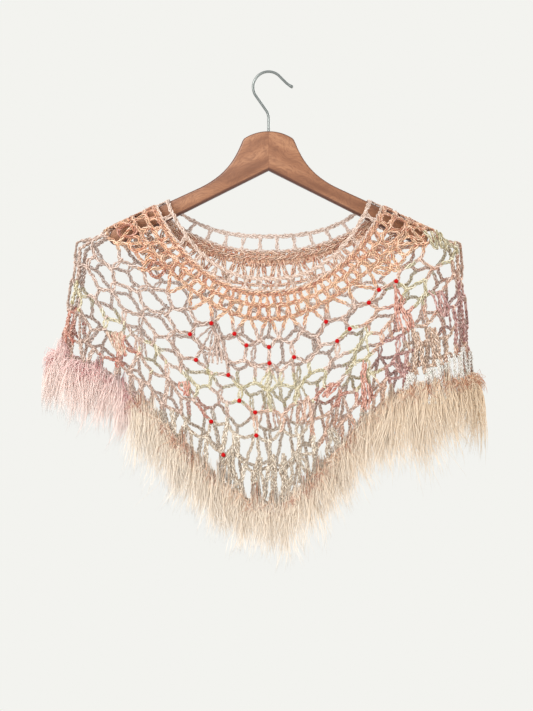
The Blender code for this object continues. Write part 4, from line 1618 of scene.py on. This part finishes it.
# %% Sizes of the fringe
TAPE_DROP = 4 * MM
LOCK_LENGTH = {"pink": 74 * MM, "cream": 88 * MM}
MIDDLE_TRIM = {"front": 9 * MM, "back": 22 * MM}
MIDDLE_WIDTH = 0.32
GROWTH = {
    "across": (-1.0, -0.85, -0.68, -0.60, -0.40, 0.40, 0.60, 0.92, 1.0),
    "pink": (16, 12, -4, -4, 0, 2, 24, 26, 14),
    "cream": (16, 14, 16, 12, 2, 2, 24, 26, 14),
}
LOCK_LEAN = 0.10
EDGE_PUSH = {"left": 19 * MM, "right": 9 * MM}
EDGE_START = 0.80
PINK_STEPS = 6
HAIRS_PER_METRE = {"front": 8600, "back": 5000}
LOCK_PITCH = 11 * MM
WISP_PITCH = 3.0 * MM
WISP_LAYERS = 6
HAIR_POINTS = 7
HAIR_THICK = 0.44 * MM
HAIR_LIFT = {"front": 11 * MM, "back": 4 * MM}
SHORT_LIFT = 3 * MM
HAIR_ROOM = {"x": (-0.314, 0.303), "y": (-0.066, 0.062), "z": (-0.700, -0.300)}
SHORT_SHARE = {"pink": 0.16, "cream": 0.26}
SPECKED_LOCKS = {"pink": 0.34, "cream": 0.46}
SPECK_SHARE = {"short": 0.60, "long": 0.10}
print("stretches of the fringe:", list(LOCK_LENGTH))

# %% Tones of the hair
RIGHT_TINT = (246, 238, 226)
HAIR_TONES = {
    "pink": {
        "roots": ((220, 160, 160), (244, 206, 202), (253, 228, 222)),
        "shares": (0.20, 0.40, 0.40),
        "middle": (255, 229, 221),
        "tip": (255, 240, 232),
        "speck": (184, 84, 88),
    },
    "cream": {
        "roots": ((238, 200, 166), (252, 228, 204), (255, 244, 230)),
        "shares": (0.20, 0.34, 0.46),
        "middle": (255, 240, 220),
        "tip": (255, 245, 232),
        "speck": (184, 96, 40),
    },
}


def hair_tones(kind, hair, share, draw):
    """The colour of each point of each hair."""
    table = HAIR_TONES[kind]
    roots = np.array([linear(*c) for c in table["roots"]])
    roots = roots[draw.choice(len(roots), len(hair.across), p=table["shares"])]
    middle, tip = linear(*table["middle"]), linear(*table["tip"])
    early = np.clip(share * np.where(hair.short, 0.8, 4.5)[:, None] - 0.1, 0, 1)[..., None]
    late = np.clip(share * 1.5 - 0.5, 0, 1)[..., None]
    tones = mix(mix(roots[:, None, :], middle, early), tip, late * early)
    tones = tones * hair.shade[:, None, None]
    tint = mix(np.ones(3), linear(*RIGHT_TINT), np.clip(hair.across, 0, 1)[:, None])
    tones = tones * tint[:, None]
    speck_share = np.where(hair.short, SPECK_SHARE["short"], SPECK_SHARE["long"]) * hair.specked
    specks = draw.random(tones.shape[:2]) < speck_share[:, None]
    specks = specks * (share < np.where(hair.short, 1, 0.2)[:, None])
    return mix(tones, linear(*table["speck"]), specks[..., None] * 0.75)


print("hair tones:", list(HAIR_TONES))


# %% Where the hairs grow
def hem_places(side, first, last, draw):
    """Random places along the hem between two columns, even by length."""
    ends = [column_across(side, c) for c in (first, last)]
    across = np.linspace(*ends, 600)
    run = lengths_along(lace(side, across, 1.0))
    count = int(run[-1] * HAIRS_PER_METRE[side])
    at = np.sort(draw.uniform(0, run[-1], count))
    return np.interp(at, run, across), at


def hold_in(values, low, high, ease=14 * MM):
    """Bends values back gently before they pass a limit."""
    over = np.maximum(values - (high - ease), 0)
    under = np.maximum((low + ease) - values, 0)
    values = values - over + ease * np.tanh(over / ease)
    return values + under - ease * np.tanh(under / ease)


print("hairs to a metre of hem:", HAIRS_PER_METRE)


# %% Planting the hairs
ROOT_STANDOFF = (0.6 * MM, 1.6 * MM)
LEANS = {"lock": 0.12, "wisp": 0.17, "hair": 0.07, "short": 0.5}
LENGTHS = {"lock": (1, 0.14), "wisp": (0.58, 1.04), "hair": (0.85, 1)}
SHORT_LENGTHS = (8, 24)
SHORT_CURL = 1.4
SWAY_SIZE = 4.4 * MM
CURL_SIZE = 1.9 * MM
SWELL_SIZE = 7 * MM
AWAY = (0.05, 0.08)
TURN_STRAY = 0.3
TUFTS = (0.1, 1.9)
WISP_SHADES = (0.93, 1.06)
HAIR_SHADES = (0.96, 1.04)
ROOT_DROPS = (-1.2, 0.9)
ROOT_WAVE = 2.4 * MM


def plant_hairs(side, kind, first, last, draw):
    """Where each hair grows, and how its lock, its wisp and itself differ from others."""
    across, at = hem_places(side, first, last, draw)
    count = len(across)
    root = lace(side, across, 1.0)
    out = lace_out(side, root)
    root = root + out * draw.normal(*ROOT_STANDOFF, count)[:, None]
    lock_draw = np.random.default_rng(89 + len(side))
    lock = (at / LOCK_PITCH).astype(int)
    cell = (at / WISP_PITCH).astype(int)
    wisp = cell * WISP_LAYERS + draw.integers(0, WISP_LAYERS, count)
    locks, wisps = lock.max() + 1, wisp.max() + WISP_LAYERS
    lean = lock_draw.normal(0, LEANS["lock"], locks)[lock]
    lean = lean + lock_draw.normal(0, LEANS["wisp"], wisps)[wisp]
    length = LOCK_LENGTH[kind] - MIDDLE_TRIM[side] * bell(across, MIDDLE_WIDTH)
    length += np.interp(across, GROWTH["across"], GROWTH[kind]) * MM
    lock_length = lock_draw.normal(*LENGTHS["lock"], locks)[lock]
    length *= lock_length * lock_draw.uniform(*LENGTHS["wisp"], wisps)[wisp]
    length *= draw.uniform(*LENGTHS["hair"], count)
    sway = lock_draw.normal(0, SWAY_SIZE, wisps)[wisp, None]
    curl = lock_draw.normal(0, CURL_SIZE, wisps)[wisp, None]
    turn = lock_draw.uniform(0, 2 * math.pi, wisps)[wisp, None]
    turn = turn + draw.normal(0, TURN_STRAY, count)[:, None]
    tuft = lock_draw.uniform(*TUFTS, locks)[lock] * lock_draw.random(wisps)[wisp] ** 2
    shade = lock_draw.uniform(*WISP_SHADES, wisps)[wisp] * draw.uniform(*HAIR_SHADES, count)
    away = np.abs(lock_draw.normal(*AWAY, wisps))[wisp]
    swell = lock_draw.uniform(0, SWELL_SIZE, wisps)[wisp, None]
    specked = (lock_draw.random(locks) < SPECKED_LOCKS[kind])[lock] * 0.9 + 0.1
    short = draw.random(count) < SHORT_SHARE[kind]
    length[short] = draw.uniform(*SHORT_LENGTHS, short.sum()) * MM
    root = root + out * (short * SHORT_LIFT)[:, None]
    lean[short] += draw.normal(0, LEANS["short"], short.sum())
    curl[short] *= SHORT_CURL
    root[:, 2] += draw.uniform(*ROOT_DROPS, count) * TAPE_DROP + HAIR_LIFT[side] * 0.7 * tuft
    root[:, 2] += lock_draw.normal(0, ROOT_WAVE, locks)[lock]
    return SimpleNamespace(
        across=across, at=at, cell=cell, root=root, out=out, lean=lean, length=length, sway=sway,
        curl=curl, turn=turn, tuft=tuft, shade=shade, away=away, swell=swell, specked=specked,
        short=short,
    )


print("short hairs' lengths in millimetres:", SHORT_LENGTHS)

# %% Shape of the hairs
PUSH_SHARES = (0.3, 1.1)
GATHER = 0.9
HAIR_TAPER = 0.55
HAIR_THICKS = (0.6, 1.15)


def bend_hairs(side, hair, share, draw):
    """The points of each hair, which falls from its root to the common tip of its wisp."""
    edge = np.maximum(np.abs(hair.across) - EDGE_START, 0) / (1 - EDGE_START)
    stray = draw.normal(0, LEANS["hair"], len(edge))
    lean = hair.lean + LOCK_LEAN * hair.across * (1 - edge) + stray
    push = np.sign(hair.across) * by_side(hair.across, EDGE_PUSH) * edge
    push = push * draw.uniform(*PUSH_SHARES, len(edge))
    centre = ((hair.cell + 0.5) * WISP_PITCH - hair.at)[:, None]
    gather = centre * GATHER * np.minimum(share * 2.2, 1)
    sway = hair.sway * np.sin(share * 4.2 + hair.turn) * share**0.6
    curl = hair.curl * np.sin(share * 9.0 + hair.turn * 2) * share**0.5
    lift = HAIR_LIFT[side] * hair.tuft[:, None] * np.sin(math.pi * np.minimum(share * 3, 1))
    bulge = push[:, None] * np.sin(np.minimum(share * 2.4, 1) * math.pi / 2)
    fall = (lean * hair.length)[:, None] * share**1.2
    x = hair.root[:, :1] + fall + gather + curl + sway + bulge
    swell = hair.swell * np.sin(share * math.pi) ** 0.7
    away = (hair.away * hair.length)[:, None] * share + swell + curl * 0.6
    x = x + away * hair.out[:, :1] * 0.4
    y = hair.root[:, 1:2] + away * hair.out[:, 1:2]
    z = hair.root[:, 2:3] - hair.length[:, None] * share**1.15 + lift
    held = [hold_in(values, *HAIR_ROOM[axis]) for axis, values in zip("xyz", (x, y, z), strict=True)]
    return np.stack(held, axis=-1)


def work_hair(side, kind, first, last):
    """One stretch of the fringe."""
    draw = np.random.default_rng(71 + len(side) + len(kind))
    hair = plant_hairs(side, kind, first, last, draw)
    share = np.linspace(0, 1, HAIR_POINTS)[None, :]
    lines = bend_hairs(side, hair, share, draw)
    radii = HAIR_THICK * (1 - HAIR_TAPER * share**1.5)
    radii = radii * draw.uniform(*HAIR_THICKS, len(lines))[:, None]
    outs = np.broadcast_to(np.array((0, OUTWARD[side], 0.0)), lines.shape)
    tones = hair_tones(kind, hair, share, draw)
    skein = Skein()
    runs = hair.length[:, None] * share
    skein.lay(lines, radii, outs, tones, runs, sides=3, pointed=True)
    return skein


print("points of a hair:", HAIR_POINTS)


# %% Fringe
def hair_finish(name):
    finish = Finish(name, roughness=0.55, sheen_weight=0.3)
    tone = finish.attribute("tone", "Color")
    run, _, _ = finish.parts(finish.attribute("fibre", "Vector"))
    streak = finish.noise(finish.place(), 260.0)
    shade = 0.72 + (streak - 0.5) * 0.9 + run * 2.0
    darker = finish.blend(1.0, tone, opaque((0.92, 0.87, 0.82)), "MULTIPLY")
    finish.vary(
        base_color=finish.blend(shade, darker, tone),
        roughness=0.45 + streak * 0.2,
    )
    return finish


hair_finishes = {"pink": hair_finish("pink hair"), "cream": hair_finish("cream hair")}
hair_pieces = {}
for side in ("front", "back"):
    for kind in ("pink", "cream"):
        reach_of = (0, PINK_STEPS) if kind == "pink" else (PINK_STEPS, 2 * COLUMNS[side])
        made = work_hair(side, kind, *reach_of)
        hair_pieces[side, kind] = made.finish(f"hair_{kind}_{side}", hair_finishes[kind])
        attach(hair_pieces[side, kind], "root")
        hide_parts(f"fringe_{kind}_{side}")

# %% [markdown]
# ## Beads
#
# Twenty glossy red beads are threaded on the net where strands meet. Each is a small sphere on the knot
# nearest to a place in a short list, and no knot takes two.

# %% Beads
BEAD_RADIUS = 3.1 * MM
BEAD_LIFT = 3.4
BEAD_PLACES = (
    (-110, -358), (-104, -414), (-81, -334), (-77, -473), (-63, -418), (-48, -350), (-31, -455),
    (-27, -369), (-10, -389), (-3, -496), (5, -414), (34, -389), (64, -352), (84, -372),
    (118, -355), (138, -323), (155, -282), (159, -294), (-25, -492), (-52, -526),
)


def thread_beads(finish):
    knots = []
    for line in range(1, HEM_ROUND):
        for column in range(1, 2 * COLUMNS["front"]):
            knots.append(lace("front", *round_knot("front", column, line)))
    knots = np.array(knots)
    free = np.ones(len(knots), bool)
    shape = bmesh.new()
    for x, z in BEAD_PLACES:
        away = np.hypot(knots[:, 0] - x * MM, knots[:, 2] - z * MM) + ~free * 1.0
        nearest = int(away.argmin())
        free[nearest] = False
        place = knots[nearest] + lace_out("front", knots[nearest][None])[0] * BEAD_LIFT * MM
        bmesh.ops.create_uvsphere(
            shape,
            u_segments=14,
            v_segments=9,
            radius=BEAD_RADIUS,
            matrix=Matrix.Translation(place),
        )
    return make_piece("beads", shape, finish)


bead_finish = Finish("red glass", roughness=0.35)
bead_finish.shader.inputs["IOR"].default_value = 1.2
bead_cloud = bead_finish.noise(bead_finish.place(), 400.0)
bead_finish.vary(
    base_color=bead_finish.blend(bead_cloud, (0.44, 0.001, 0.002, 1), (0.54, 0.003, 0.004, 1)),
)
beads = thread_beads(bead_finish)
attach(beads, "root")
print("beads:", len(BEAD_PLACES))
